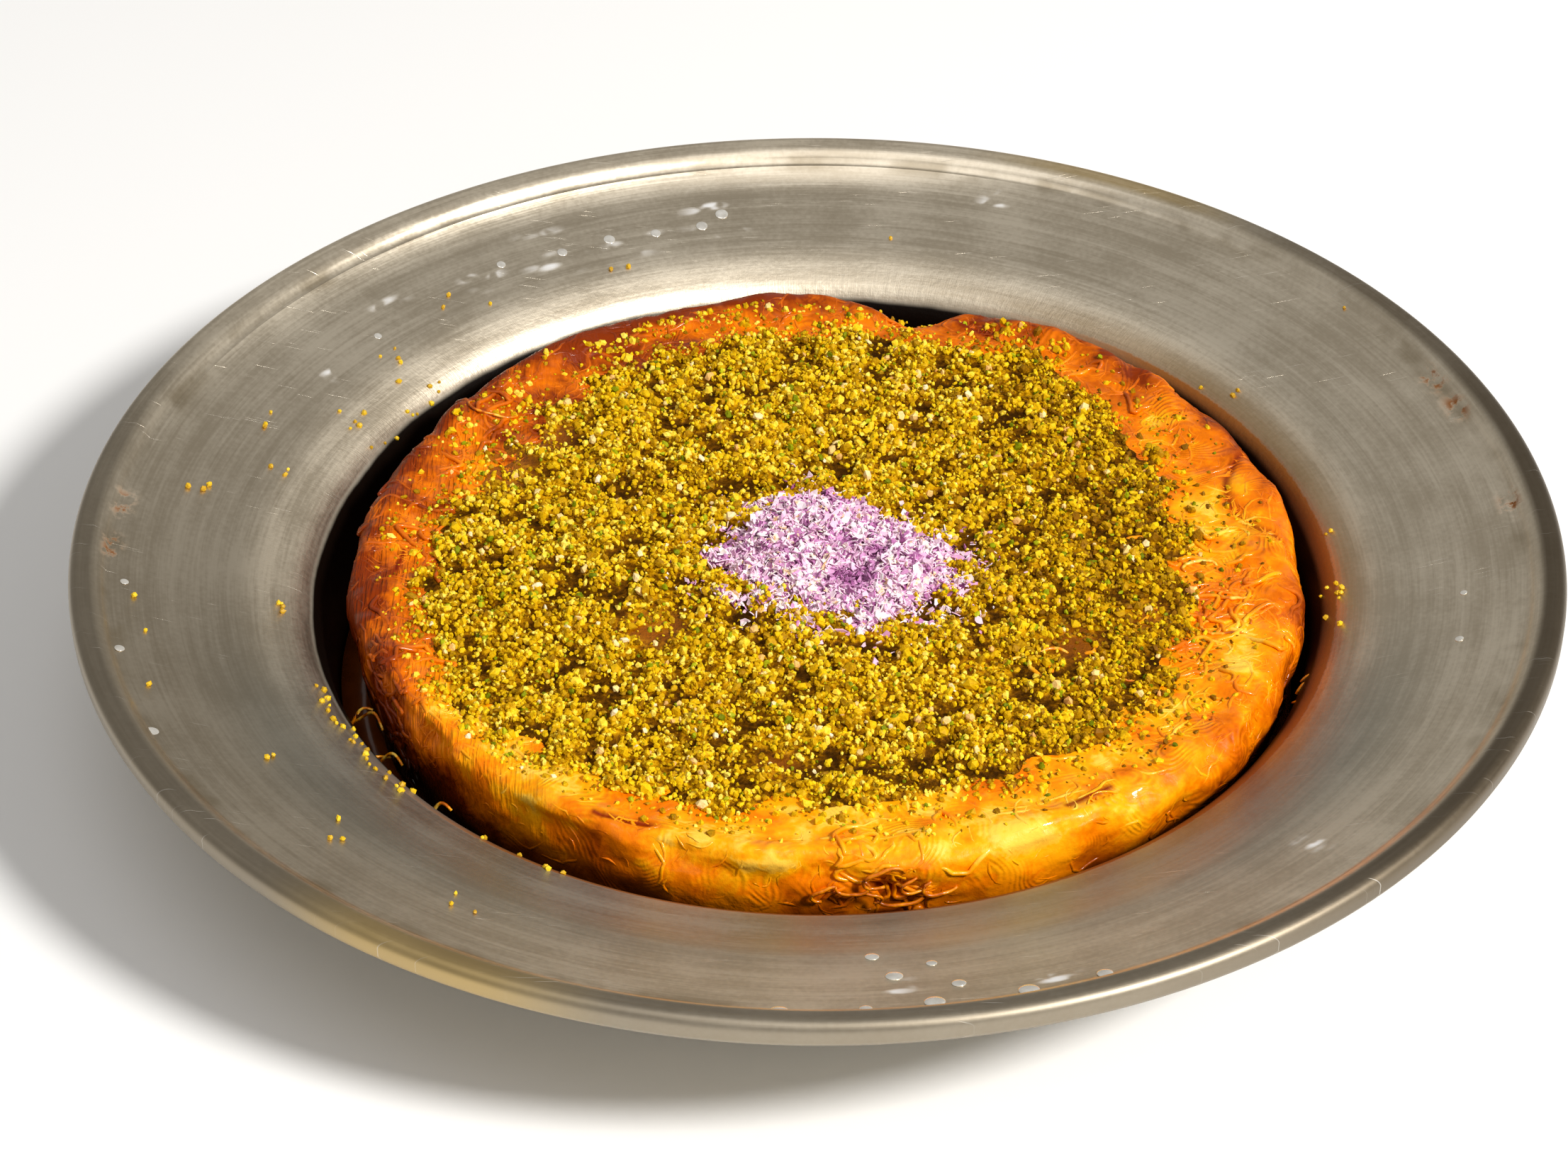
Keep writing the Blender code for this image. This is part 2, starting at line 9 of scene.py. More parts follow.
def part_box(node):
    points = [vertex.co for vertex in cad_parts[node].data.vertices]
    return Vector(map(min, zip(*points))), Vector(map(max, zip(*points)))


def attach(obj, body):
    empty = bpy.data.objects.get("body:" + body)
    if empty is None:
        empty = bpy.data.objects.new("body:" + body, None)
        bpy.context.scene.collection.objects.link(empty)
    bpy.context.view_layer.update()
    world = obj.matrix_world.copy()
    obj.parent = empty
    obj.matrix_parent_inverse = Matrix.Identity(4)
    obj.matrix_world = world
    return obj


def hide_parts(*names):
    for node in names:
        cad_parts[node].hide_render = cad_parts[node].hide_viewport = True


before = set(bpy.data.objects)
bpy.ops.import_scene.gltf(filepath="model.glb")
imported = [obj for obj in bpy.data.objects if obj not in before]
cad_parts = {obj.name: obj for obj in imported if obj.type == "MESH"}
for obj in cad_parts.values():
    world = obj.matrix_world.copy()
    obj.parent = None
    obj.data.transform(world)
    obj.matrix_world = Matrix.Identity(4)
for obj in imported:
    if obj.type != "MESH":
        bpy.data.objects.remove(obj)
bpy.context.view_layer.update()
mm = 0.001
tau = math.tau


# Node trees

class Wire:
    # one output socket; a sum on it adds Math nodes to its tree
    def __init__(self, net, socket):
        self.net = net
        self.socket = socket

    def also(self, name):
        return Wire(self.net, self.socket.node.outputs[name])

    def __add__(self, other):
        return self.net.math("ADD", self, other)

    def __sub__(self, other):
        return self.net.math("SUBTRACT", self, other)

    def __rsub__(self, other):
        return self.net.math("SUBTRACT", other, self)

    def __mul__(self, other):
        return self.net.math("MULTIPLY", self, other)

    def __pow__(self, other):
        return self.net.math("POWER", self, other)

    __radd__ = __add__
    __rmul__ = __mul__


class Net:
    # writes a node tree, for a material or for geometry
    def __init__(self, tree):
        self.tree = tree

    def node(self, kind, settings=None, values=None, out=0):
        made = self.tree.nodes.new(kind)
        for name, value in (settings or {}).items():
            if name == "stops":
                self.setStops(made.color_ramp, value)
            else:
                setattr(made, name, value)
        for name, value in (values or {}).items():
            if isinstance(value, Wire):
                self.tree.links.new(value.socket, made.inputs[name])
            else:
                made.inputs[name].default_value = value
        return Wire(self, made.outputs[out]) if made.outputs else None

    def setStops(self, ramp, stops):
        while len(ramp.elements) < len(stops):
            ramp.elements.new(0.5)
        for element, (place, colour) in zip(ramp.elements, stops):
            element.position = place
            element.color = colour

    def math(self, operation, first, second=0.0):
        return self.node("ShaderNodeMath", {"operation": operation}, {0: first, 1: second})

    def vector(self, operation, first, second=(0.0, 0.0, 0.0), out=0):
        return self.node("ShaderNodeVectorMath", {"operation": operation}, {0: first, 1: second}, out)

    def mix(self, share, first, second):
        return self.node("ShaderNodeMix", {"data_type": "RGBA"}, {0: share, 6: first, 7: second}, out=2)

    def ramp(self, value, stops):
        return self.node("ShaderNodeValToRGB", {"stops": stops}, {"Fac": value})

    def step(self, value, low, high):
        # 0 below low, 1 above high, smooth between
        settings = {"interpolation_type": "SMOOTHSTEP"}
        return self.node("ShaderNodeMapRange", settings, {"Value": value, "From Min": low, "From Max": high})

    def noise(self, place, size, detail=2.0, rough=0.5):
        # cloudy noise with features of about this size, from 0 to 1
        values = {"Vector": place, "Scale": 1.0 / size, "Detail": detail, "Roughness": rough}
        return self.node("ShaderNodeTexNoise", {}, values)

    def place(self):
        return self.node("ShaderNodeTexCoord", out="Object")

    def parts(self, place):
        # a place's x, y and z
        made = self.node("ShaderNodeSeparateXYZ", {}, {"Vector": place})
        return made, made.also("Y"), made.also("Z")

    def flat(self, place):
        return self.vector("MULTIPLY", place, (1.0, 1.0, 0.0))

    def shifted(self, place, x=0.0, y=0.0, z=0.0):
        return self.vector("ADD", place, (x, y, z))

    def near(self, flat, places, inner):
        # 1 close to any of the places, each one x, y and reach in mm, and 0 beyond its reach
        found = None
        for x, y, reach in places:
            away = self.vector("DISTANCE", flat, (x * mm, y * mm, 0.0), out="Value")
            one = 1 - self.step(away, inner * reach * mm, reach * mm)
            found = one if found is None else self.math("MAXIMUM", found, one)
        return found

    def stretched(self, place, turn, scale):
        return self.node("ShaderNodeMapping", {}, {"Vector": place, "Rotation": turn, "Scale": scale})

    def attribute(self, name):
        return self.node("ShaderNodeAttribute", {"attribute_name": name}, out="Fac")

    def join(self, x, y, z):
        return self.node("ShaderNodeCombineXYZ", {}, {0: x, 1: y, 2: z})

    def scaled(self, vector, amount):
        return self.node("ShaderNodeVectorMath", {"operation": "SCALE"}, {0: vector, "Scale": amount})

    # geometry trees only
    def stored(self, name):
        return self.node("GeometryNodeInputNamedAttribute", {"data_type": "FLOAT"}, {"Name": name})

    def keep(self, geometry, name, value):
        settings = {"data_type": "FLOAT", "domain": "INSTANCE"}
        values = {"Geometry": geometry, "Name": name, "Value": value}
        return self.node("GeometryNodeStoreNamedAttribute", settings, values)

    def chance(self, low, high, seed):
        values = {2: low, 3: high, "Seed": seed}
        return self.node("FunctionNodeRandomValue", {"data_type": "FLOAT"}, values, out=1)

    def spots(self, given, cover):
        # points strewn over the given mesh, as thick as its attribute says
        density = self.stored(cover) * given.also("perArea")
        values = {"Mesh": given, "Density": density, "Seed": given.also("seed")}
        return self.node("GeometryNodeDistributePointsOnFaces", {"distribute_method": "RANDOM"}, values)

    def instances(self, points, shape, turn, scale):
        values = {"Points": points, "Instance": shape, "Rotation": turn, "Scale": scale}
        return self.node("GeometryNodeInstanceOnPoints", {}, values)

    def realized(self, instances):
        return self.node("GeometryNodeRealizeInstances", {}, {"Geometry": instances})

    def moved(self, geometry, offset):
        return self.node("GeometryNodeSetPosition", {}, {"Geometry": geometry, "Offset": offset})

    def drift(self, settings, values, amount):
        # a noise's way to each side, this far at most
        noise = self.node("ShaderNodeTexNoise", settings, values, out="Color")
        return self.scaled(self.vector("SUBTRACT", noise, (0.5, 0.5, 0.5)), amount)


def screen(red, green, blue):
    # a colour by its screen values, 0 to 255
    def straight(value):
        value /= 255
        return value / 12.92 if value <= 0.04045 else ((value + 0.055) / 1.055) ** 2.4
    return (straight(red), straight(green), straight(blue), 1.0)


def finish(name, fixed, write):
    # a material: fixed values on the shader's sockets, and what write() gives for the ones that vary
    material = bpy.data.materials.new(name)
    material.use_nodes = True
    shader = material.node_tree.nodes["Principled BSDF"]
    for socket, value in fixed.items():
        shader.inputs[socket].default_value = value
    net = Net(material.node_tree)
    for socket, wire in write(net).items():
        net.tree.links.new(wire.socket, shader.inputs[socket])
    return material


def bump(net, height, distance):
    return net.node("ShaderNodeBump", {}, {"Height": height, "Distance": distance})


# Meshes

def addPiece(name, mesh, material=None, smooth=True):
    piece = bpy.data.objects.new(name, mesh)
    bpy.context.scene.collection.objects.link(piece)
    if material:
        mesh.materials.clear()
        mesh.materials.append(material)
    if smooth:
        mesh.shade_smooth()
    return piece


def place(piece, slot, *nodes):
    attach(piece, "root")
    if nodes:
        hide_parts(*nodes)
    return piece


def skin(name, rows):
    # rows of points from the top down the outer side; a row is a ring, or one point at a pole
    points, starts, faces = [], [], []
    for row in rows:
        starts.append(len(points))
        points.extend(row)
    for above, below, a, b in zip(rows, rows[1:], starts, starts[1:]):
        count = max(len(above), len(below))
        for i in range(count):
            j = (i + 1) % count
            if len(above) == 1:
                faces.append((a, b + i, b + j))
            elif len(below) == 1:
                faces.append((a + i, b, a + j))
            else:
                faces.append((a + i, b + i, b + j, a + j))
    mesh = bpy.data.meshes.new(name)
    mesh.from_pydata([tuple(point) for point in points], [], faces)
    mesh.update()
    return mesh


def disc(name, sizes, measure, labels):
    # a seat for scattered pieces; measure gives the height at a place and a value for each of the labels
    rows, shares = [], []
    for k in range(sizes["rings"] + 1):
        ring = []
        for i in range(sizes["steps"] if k else 1):
            angle, radius = tau * i / sizes["steps"], sizes["last"] * k / sizes["rings"]
            x, y = sizes["x"] + radius * math.cos(angle), sizes["y"] + radius * math.sin(angle)
            height, *values = measure(x, y)
            ring.append(Vector((x, y, height)))
            shares.append(values)
        rows.append(ring)
    mesh = skin(name, rows)
    for label, values in zip(labels, zip(*shares)):
        setShare(mesh, label, values)
    return addPiece(name, mesh)


def closedLayer(name, sizes, reach, top):
    # rows of a closed layer with this upper face, from its middle out to its reach and back below
    middle = (sizes["x"], sizes["y"])
    rows = [[Vector((*middle, top(*middle)))]]
    for k in range(1, sizes["rings"] + 1):
        ring = []
        for i in range(sizes["steps"]):
            angle = tau * i / sizes["steps"]
            radius = reachAt(reach, angle) * mm * sizes["spread"] * k / sizes["rings"]
            x, y = middle[0] + radius * math.cos(angle), middle[1] + radius * math.sin(angle)
            ring.append(Vector((x, y, top(x, y))))
        rows.append(ring)
    rows.append([point - Vector((0, 0, sizes["edge"])) for point in rows[-1]])
    rows.append([Vector((*middle, sizes["foot"]))])
    return rows, skin(name, rows)


def setShare(mesh, name, values):
    layer = mesh.attributes.new(name, "FLOAT", "POINT")
    layer.data.foreach_set("value", values)


def grow(seat, name, sizes, material, write):
    # runs a geometry tree on the seat's mesh and gives the plain mesh that it makes
    tree = bpy.data.node_groups.new(name, "GeometryNodeTree")
    tree.interface.new_socket("Geometry", in_out="INPUT", socket_type="NodeSocketGeometry")
    tree.interface.new_socket("Geometry", in_out="OUTPUT", socket_type="NodeSocketGeometry")
    inputs = dict(sizes, material=material)
    sockets = {}
    for label, value in inputs.items():
        kind = {int: "Int", float: "Float"}.get(type(value), "Material")
        sockets[label] = tree.interface.new_socket(label, in_out="INPUT", socket_type="NodeSocket" + kind)
    net = Net(tree)
    given = net.node("NodeGroupInput")
    whole = net.realized(write(net, given))
    dressed = net.node("GeometryNodeSetMaterial", {}, {"Geometry": whole, "Material": given.also("material")})
    net.node("NodeGroupOutput", {}, {"Geometry": dressed})
    modifier = seat.modifiers.new(name, "NODES")
    modifier.node_group = tree
    for label, value in inputs.items():
        modifier[sockets[label].identifier] = value
    seen = seat.evaluated_get(bpy.context.evaluated_depsgraph_get())
    mesh = bpy.data.meshes.new_from_object(seen)
    seat.modifiers.remove(modifier)
    mesh.name = name
    return mesh


def arc(centre, radius, start, end, count):
    turns = [start + (end - start) * i / (count - 1) for i in range(count)]
    return [(centre[0] + radius * math.cos(turn), centre[1] + radius * math.sin(turn)) for turn in turns]


def curveThrough(values, turn):
    # smooth value at a place along a list; turn 0 is the first and 1 the next
    last = len(values) - 1
    i = min(max(int(turn), 0), last - 1)
    t = turn - i
    before, here = values[max(i - 1, 0)], values[i]
    after, beyond = values[i + 1], values[min(i + 2, last)]
    slope = t * (3 * (here - after) + beyond - before)
    return here + 0.5 * t * (after - before + t * (2 * before - 5 * here + 4 * after - beyond + slope))


def reachAt(reach, angle):
    # a reach stated every 30 degrees, smoothly between
    turn = (angle / tau % 1.0) * len(reach)
    ring = [reach[(int(turn) + k) % len(reach)] for k in (-1, 0, 1, 2)]
    return curveThrough(ring, 1 + turn % 1.0)


def swell(angle, middle, width):
    away = (angle - middle + math.pi) % tau - math.pi
    return math.exp(-((away / width) ** 2))


def cloud(x, y, size, seed):
    return noise.noise(Vector((x / size, y / size, seed)))


def clamp(value, low=0.0, high=1.0):
    return min(high, max(low, value))


# Dish

dishSizes = {
    "radius": 100 * mm,
    "sheet": 1.0 * mm,
    "floorRadius": 62.4 * mm,
    "floorFillet": 3.5 * mm,
    "wallLean": math.radians(8.0),
    "shoulderCentre": (74.1 * mm, 12.8 * mm),
    "shoulderRadius": 7.0 * mm,
    "rimSlope": math.radians(16.5),
    "creaseRadius": 94.5 * mm,
    "lipRise": 2.3 * mm,
    "lipRound": 1.3 * mm,
    "lipStep": (1.6 * mm, 1.4 * mm),
    "hemDrop": 1.2 * mm,
    "steps": 288,
    "wave": 0.10 * mm,
}


def dishUpper():
    d = dishSizes
    lean, slope = d["wallLean"], d["rimSlope"]
    floorCentre = (d["floorRadius"], d["sheet"] + d["floorFillet"])
    corner = arc(floorCentre, d["floorFillet"], -math.pi / 2, -lean, 8)
    shoulder = arc(d["shoulderCentre"], d["shoulderRadius"], math.pi - lean, math.pi / 2 + slope, 16)
    startX, startZ = shoulder[-1]
    rim = [
        (x, startZ + (x - startX) * math.tan(slope) - 0.10 * mm * math.sin(math.pi * i / 10))
        for i in range(1, 11)
        for x in [startX + (d["creaseRadius"] - startX) * i / 10]
    ]
    floor = [(d["floorRadius"] * i / 4, d["sheet"]) for i in range(4)]
    return [*floor, *corner, *shoulder, *rim]


def dishProfile():
    d = dishSizes
    upper = dishUpper()
    crease = upper[-1]
    rise, sheet, slope = d["lipRise"], d["sheet"], d["rimSlope"]
    centre = (d["radius"] - d["lipRound"], crease[1] + rise - d["lipRound"])
    step = (crease[0] + d["lipStep"][0], crease[1] + d["lipStep"][1])
    stepFoot = (crease[0] + 0.35 * d["lipStep"][0], crease[1] + 0.12 * d["lipStep"][1])
    stepHead = (crease[0] + 0.66 * d["lipStep"][0], crease[1] + 0.62 * d["lipStep"][1])
    lip = arc(centre, d["lipRound"], math.radians(118), 0.0, 12)
    crown = (0.5 * (step[0] + lip[0][0]), lip[0][1] - 0.06 * mm)
    hem = [
        (d["radius"], centre[1] - d["hemDrop"]),
        (d["radius"] - 0.25 * sheet, centre[1] - 1.5 * d["hemDrop"]),
        (d["radius"] - 0.8 * sheet, centre[1] - 1.6 * d["hemDrop"]),
    ]
    underLip = [
        (d["radius"] - 1.5 * sheet, centre[1] - 0.3 * d["hemDrop"]),
        (crease[0] + 1.7 * sheet, crease[1]),
    ]
    under = (crease[0] + sheet * math.sin(slope), crease[1] - sheet * math.cos(slope))
    lean = d["wallLean"]
    shoulder = arc(d["shoulderCentre"], d["shoulderRadius"] - sheet, math.pi / 2 + slope, math.pi - lean, 12)
    floorCentre = (d["floorRadius"], sheet + d["floorFillet"])
    corner = arc(floorCentre, d["floorFillet"] + sheet, -lean, -math.pi / 2, 8)
    lipRun = [stepFoot, stepHead, step, crown, *lip]
    return [*upper, *lipRun, *hem, *underLip, under, *shoulder, *corner, (0.0, 0.0)]


def dishHeight(radius):
    # height of the dish's upper face
    points = dishUpper()
    for (r0, z0), (r1, z1) in zip(points, points[1:]):
        if r0 <= radius <= r1:
            return z0 + (z1 - z0) * (radius - r0) / max(r1 - r0, 1e-9)
    return points[-1][1]


def dishRadiusAt(height):
    points = [point for point in dishUpper() if point[0] >= dishSizes["floorRadius"] - mm]
    for (r0, z0), (r1, z1) in zip(points, points[1:]):
        if z0 <= height <= z1 and z1 > z0:
            return r0 + (r1 - r0) * (height - z0) / (z1 - z0)
    return points[-1][0]


def dishMesh():
    # the sheet is turned, and its rim is a little uneven, as pressed sheet is
    d = dishSizes
    rows = []
    for radius, height in dishProfile():
        if radius == 0.0:
            rows.append([Vector((0, 0, height))])
            continue
        ring = []
        for i in range(d["steps"]):
            angle = tau * i / d["steps"]
            share = clamp((radius - 75 * mm) / (25 * mm))
            turned = Vector((2 * math.cos(angle), 2 * math.sin(angle), 4.0))
            sag = d["wave"] * share * (1 + noise.noise(turned))
            ring.append(Vector((radius * math.cos(angle), radius * math.sin(angle), height - sag)))
        rows.append(ring)
    return skin("dish", rows)


steelLook = {
    "light": screen(242, 230, 208),
    "dark": screen(212, 198, 174),
    # painted shade: the steel darker towards the left near side
    "leftShade": screen(120, 106, 84),
    # painted reflection of the orange pastry on the right shoulder
    "warmWithPaintedLight": screen(176, 136, 72),
    # painted shade: the near slope and rim darker and cooler
    "nearShade": screen(96, 118, 122),
    # lip and lipRightShade: painted shade on the lip
    "lip": screen(132, 122, 106),
    "lipRightShade": screen(72, 54, 26),
    # painted glint: gold on the lip at the far right and near left
    "gold": screen(226, 190, 104),
    "crease": screen(150, 132, 100),
    "scratch": screen(236, 232, 224),
    # white of the dried marks, partly a painted glint
    "dried": screen(246, 246, 246),
    "stain": screen(120, 72, 28),
    # amber and amberReflectionDeep: painted reflection of the orange pastry; film: painted shade on the wall
    # of the well
    "amber": screen(156, 90, 10),
    "amberReflectionDeep": screen(56, 22, 0),
    "film": screen(10, 4, 1),
    "roughLow": 0.30,
    "roughHigh": 0.38,
    "relief": 0.018 * mm,
}
# zones of the steel: how far from the axis each starts and is full, in mm
steelZones = {
    "amberReflectionStart": (68.2, 70.4), "wellEnd": (70.8, 71.6), "warmReflectionEnd": (71.2, 76.5), "nearShadeEnd": (71.5, 90.0),
    "shoulderStart": (66.0, 69.0), "shoulderEnd": (74.0, 80.0), "creaseStart": (92.2, 94.5),
    "creaseEnd": (95.2, 96.4), "lipStart": (96.2, 97.5),
}
# patches of dried marks on the rim, whose white is partly a painted glint, spots of rust in the crease, and
# the left near side, which painted shade darkens: x, y, reach in mm
driedMarks = [
    (-15, 84, 7.0), (-28, 80, 7.0), (-40, 74, 7.0), (-50, 68, 5.0), (-62, 58, 5.0), (-70, 44, 4.0),
    (28, 85, 4.0), (6, -90, 7.0), (26, -89, 6.0), (60, -64, 4.0),
]
rustSpots = [(-94, 5, 4.5), (-95, -5, 4.5), (88, 35, 4.5), (90, 28, 4.5), (94, 5, 4.5)]
leftShadePlaces = [(-74, -40, 95)]
# scratches: which way they run and how often their patches come, and how long and wide one is
scratchKinds = [(0.35, 40), (1.2, 55), (2.1, 47), (2.8, 60)]
scratchLong, scratchWide = 9 * mm, 0.16 * mm


def scratchesOn(net, flat):
    found = None
    for turn, often in scratchKinds:
        along = net.stretched(flat, (0.0, 0.0, turn), (1 / scratchLong, 1 / scratchWide, 1.0))
        patch = net.stretched(flat, (0.0, 0.0, turn), (often, often * 3, 1.0))
        lines = net.step(net.noise(along, 1.0, 1.0), 0.70, 0.76)
        one = lines * net.step(net.noise(patch, 1.0, 2.0), 0.56, 0.64)
        found = one if found is None else net.math("MAXIMUM", found, one)
    return found


def writeSteel(net):
    look = steelLook
    at = net.place()
    x, y, z = net.parts(at)
    flat = net.flat(at)
    radius = net.vector("LENGTH", flat, out="Value")
    around = net.vector("NORMALIZE", flat)

    def zone(name):
        low, high = steelZones[name]
        return net.step(radius, low * mm, high * mm)

    # fine turned lines: noise that is stretched round the axis, with no seam
    spun = net.vector("ADD", net.scaled(around, 6.0), net.join(0.0, 0.0, radius * 2600))
    brushed = net.noise(spun, 1.0, 3.0, 0.6)
    rings = net.noise(net.join(0.0, 0.0, radius * 420), 1.0, 2.0)
    streak = net.vector("ADD", net.scaled(around, 420.0), net.join(0.0, 0.0, radius * 160))
    streaks = net.noise(streak, 1.0, 2.0, 0.6)
    cloudy = net.noise(at, 14 * mm, 3.0)
    grain = net.noise(at, 0.7 * mm, 2.0)
    scratches = scratchesOn(net, flat)
    shoulder = zone("shoulderStart") * (1 - zone("shoulderEnd"))
    lip = zone("lipStart")
    crease = zone("creaseStart") * (1 - zone("creaseEnd"))
    # dried marks are short dashes round the axis; their white is partly a painted glint
    cells = net.join(net.math("ARCTAN2", y, x) * 12.5, radius * 440, 0.0)
    dashes = net.node("ShaderNodeTexVoronoi", {}, {"Vector": cells, "Scale": 1.0})
    dried = net.near(flat, driedMarks, 0.2) * (1 - net.step(dashes, 0.18, 0.42))
    dried = dried * net.step(net.noise(at, 3 * mm, 1.0), 0.38, 0.52)
    rust = crease * net.near(flat, rustSpots, 1 / 4.5)
    rust = rust * net.step(net.noise(at, 2.2 * mm, 4.0, 0.65), 0.46, 0.60)
    film = crease * net.step(net.noise(at, 9 * mm, 2.0), 0.45, 0.65) * 0.5
    # painted shade: the wall of the well is near black below the brim, as the deep gap is in shadow; and a
    # painted reflection: an amber band where the shoulder starts, as of the orange pastry beside it
    brim = 17.2 * mm + net.step(y, 10 * mm, 55 * mm) * 0.7 * mm
    over = z + (cloudy - 0.5) * 1.0 * mm - brim
    wall = (1 - zone("wellEnd")) * (1 - net.step(over, -0.4 * mm, 0.5 * mm))
    wide = 70.5 * mm + (grain - 0.5) * 0.5 * mm
    toward = net.step(x * 1.2 - y, -45 * mm, 15 * mm)
    amber = (1 - net.step(radius, wide - 0.2 * mm, wide + 0.2 * mm)) * toward
    # shares of the steel's colours
    # painted shade: darker towards the left near side, less so on the shoulder
    leftShade = net.near(flat, leftShadePlaces, 10 / 95) * (0.42 - shoulder * 0.24)
    # painted reflection: the right shoulder and wall are tinted warm, as by the orange pastry beside them
    warmWithPaintedLight = net.step(x, 10 * mm, 60 * mm) * net.step(y, -45 * mm, 0.0) * (1 - zone("warmReflectionEnd")) * 0.6
    # painted shade: the near slope and rim are darker and cooler, dulling what they reflect
    nearShade = net.step(-1 * y, 5 * mm, 50 * mm) * (1 - zone("nearShadeEnd"))
    nearShade = nearShade * (net.step(x, -20 * mm, 50 * mm) * 0.2 + 0.5)
    # painted shade: the lip darker except at the far side, and darkest at the right
    lipShade = lip * 0.75 * (1 - net.step(y, 15 * mm, 60 * mm) * 0.95)
    lipRightShade = lip * net.step(x, 30 * mm, 80 * mm) * 0.6
    # painted glint: a gold tint on the lip at the far right and the near left
    across = net.math("ABSOLUTE", x * 0.883 - y * 0.469)
    gold = lip * (1 - net.step(across, 6 * mm, 26 * mm)) * 0.45
    shade = net.step(cloudy * 0.34 + brushed * 0.26 + rings * 0.24 + grain * 0.16, 0.38, 0.62)
    colour = net.mix(shade, look["dark"], look["light"])
    shares = [
        (leftShade, "leftShade"), (warmWithPaintedLight, "warmWithPaintedLight"), (nearShade, "nearShade"), (lipShade, "lip"), (lipRightShade, "lipRightShade"),
        (gold, "gold"), (film, "crease"), (scratches * 0.55, "scratch"), (dried, "dried"), (rust, "stain"),
    ]
    for share, name in shares:
        colour = net.mix(share, colour, look[name])
    colour = net.mix(amber * 0.9, colour, net.mix(zone("amberReflectionStart"), look["amberReflectionDeep"], look["amber"]))
    colour = net.mix(wall, colour, look["film"])
    near = net.step(-1 * y, 45 * mm, 75 * mm)
    rough = look["roughLow"] + (look["roughHigh"] - look["roughLow"]) * shade
    rough = rough + shoulder * 0.13 + near * 0.08 + lip * 0.08 + dried * 0.1 + rust * 0.3
    leather = net.noise(at, 1.0 * mm, 3.0, 0.6) * (0.6 + shoulder * 2.2)
    height = brushed * 0.8 + streaks * shoulder * 1.2 + leather + scratches * -0.8 + dried * 0.8 + rust
    # the shoulder runs out softly into the rim, which turns up at the far left
    short = net.math("MAXIMUM", 82 * mm - radius, 0.0)
    farLeft = net.step(y, 5 * mm, 55 * mm) * (1 - net.step(x, 0.0, 50 * mm))
    turnedUp = net.math("MAXIMUM", net.math("MINIMUM", radius, 94.5 * mm) - 88.5 * mm, 0.0)
    soft = bump(net, short * short * -15.0 + turnedUp * turnedUp * farLeft * 40.0, 1.0)
    relief = {"Height": height, "Distance": look["relief"], "Normal": soft}
    return {
        "Base Color": colour,
        "Roughness": rough,
        "Metallic": 1 - net.math("MAXIMUM", rust * 0.9 + dried * 0.6 + amber * 0.85, wall),
        "Normal": net.node("ShaderNodeBump", {}, relief),
    }


# Pastry

pastrySizes = {
    "x": 1.8 * mm,
    "y": 0.7 * mm,
    "radius": 64.6 * mm,
    "top": 20.5 * mm,
    "foot": 1.3 * mm,
    "seatMargin": 0.8 * mm,
    "notch": (math.radians(78.5), math.radians(6.0), 4.0 * mm),
    "blister": (math.radians(12.0), math.radians(7.0), 1.2 * mm),
    "raises": [
        (math.radians(98), math.radians(8), 1.1 * mm), (math.radians(130), math.radians(20), 1.5 * mm),
        (math.radians(50), math.radians(18), 1.0 * mm),
    ],
    "groove": (0.17, 0.22, 0.30 * mm),
    "hollow": (math.radians(276.0), 0.60, 0.050, 0.085, 1.7 * mm),
    "lump": (1.1 * mm, 8.5 * mm),
    "dome": 1.0 * mm,
    "steps": 620,
    "rings": 92,
    "topRings": 44,
}
# section of the crust: share of the way out from the nut's edge, and how far below the top, in mm
crustOut = [0.00, 0.25, 0.52, 0.78, 0.92, 0.98, 1.00, 0.93, 0.84, 0.62, 0.40]
crustDown = [0.0, -0.6, -0.9, -0.9, 0.1, 1.8, 4.5, 9.0, 15.5, 17.9, 19.2]
# how far the nut reaches from the pastry's middle, every 30 degrees, in mm
nutReach = [48.8, 50.9, 55.8, 53.8, 54.0, 51.2, 54.8, 57.5, 56.2, 53.3, 53.0, 51.8]
# cracks in the crust, painted darker as shade: where they run, in mm
cracks = [
    [(-39.5, 34.0), (-38.2, 28.0), (-36.6, 22.5)], [(-45.0, 25.5), (-42.0, 21.5)],
    [(21.0, 58.5), (26.5, 53.5)], [(-28.0, -54.5), (-21.0, -56.5)],
    [(31.0, -53.0), (36.5, -49.5)], [(-57.0, -3.0), (-55.5, 5.0)],
]
crustLast = len(crustOut) - 1


def outlineAt(angle):
    p = pastrySizes
    middle, width, depth = p["notch"]
    waves = math.sin(3 * angle + 3.84) + math.sin(5 * angle + 5.24) + 0.5 * math.sin(11 * angle + 3.14)
    return p["radius"] + 0.3 * mm * waves - depth * swell(angle, middle, width)


def crustPoint(angle, along):
    p = pastrySizes
    out = curveThrough(crustOut, along * crustLast)
    height = p["top"] - curveThrough(crustDown, along * crustLast) * mm
    seat = reachAt(nutReach, angle) * mm + p["seatMargin"]
    radius = seat + (outlineAt(angle) - seat) * out
    return Vector((radius * math.cos(angle), radius * math.sin(angle), height))


def crustNormal(angle, along):
    ahead = crustPoint(angle, min(1.0, along + 0.01)) - crustPoint(angle, max(0.0, along - 0.01))
    return ahead.cross(Vector((-math.sin(angle), math.cos(angle), 0.0))).normalized()


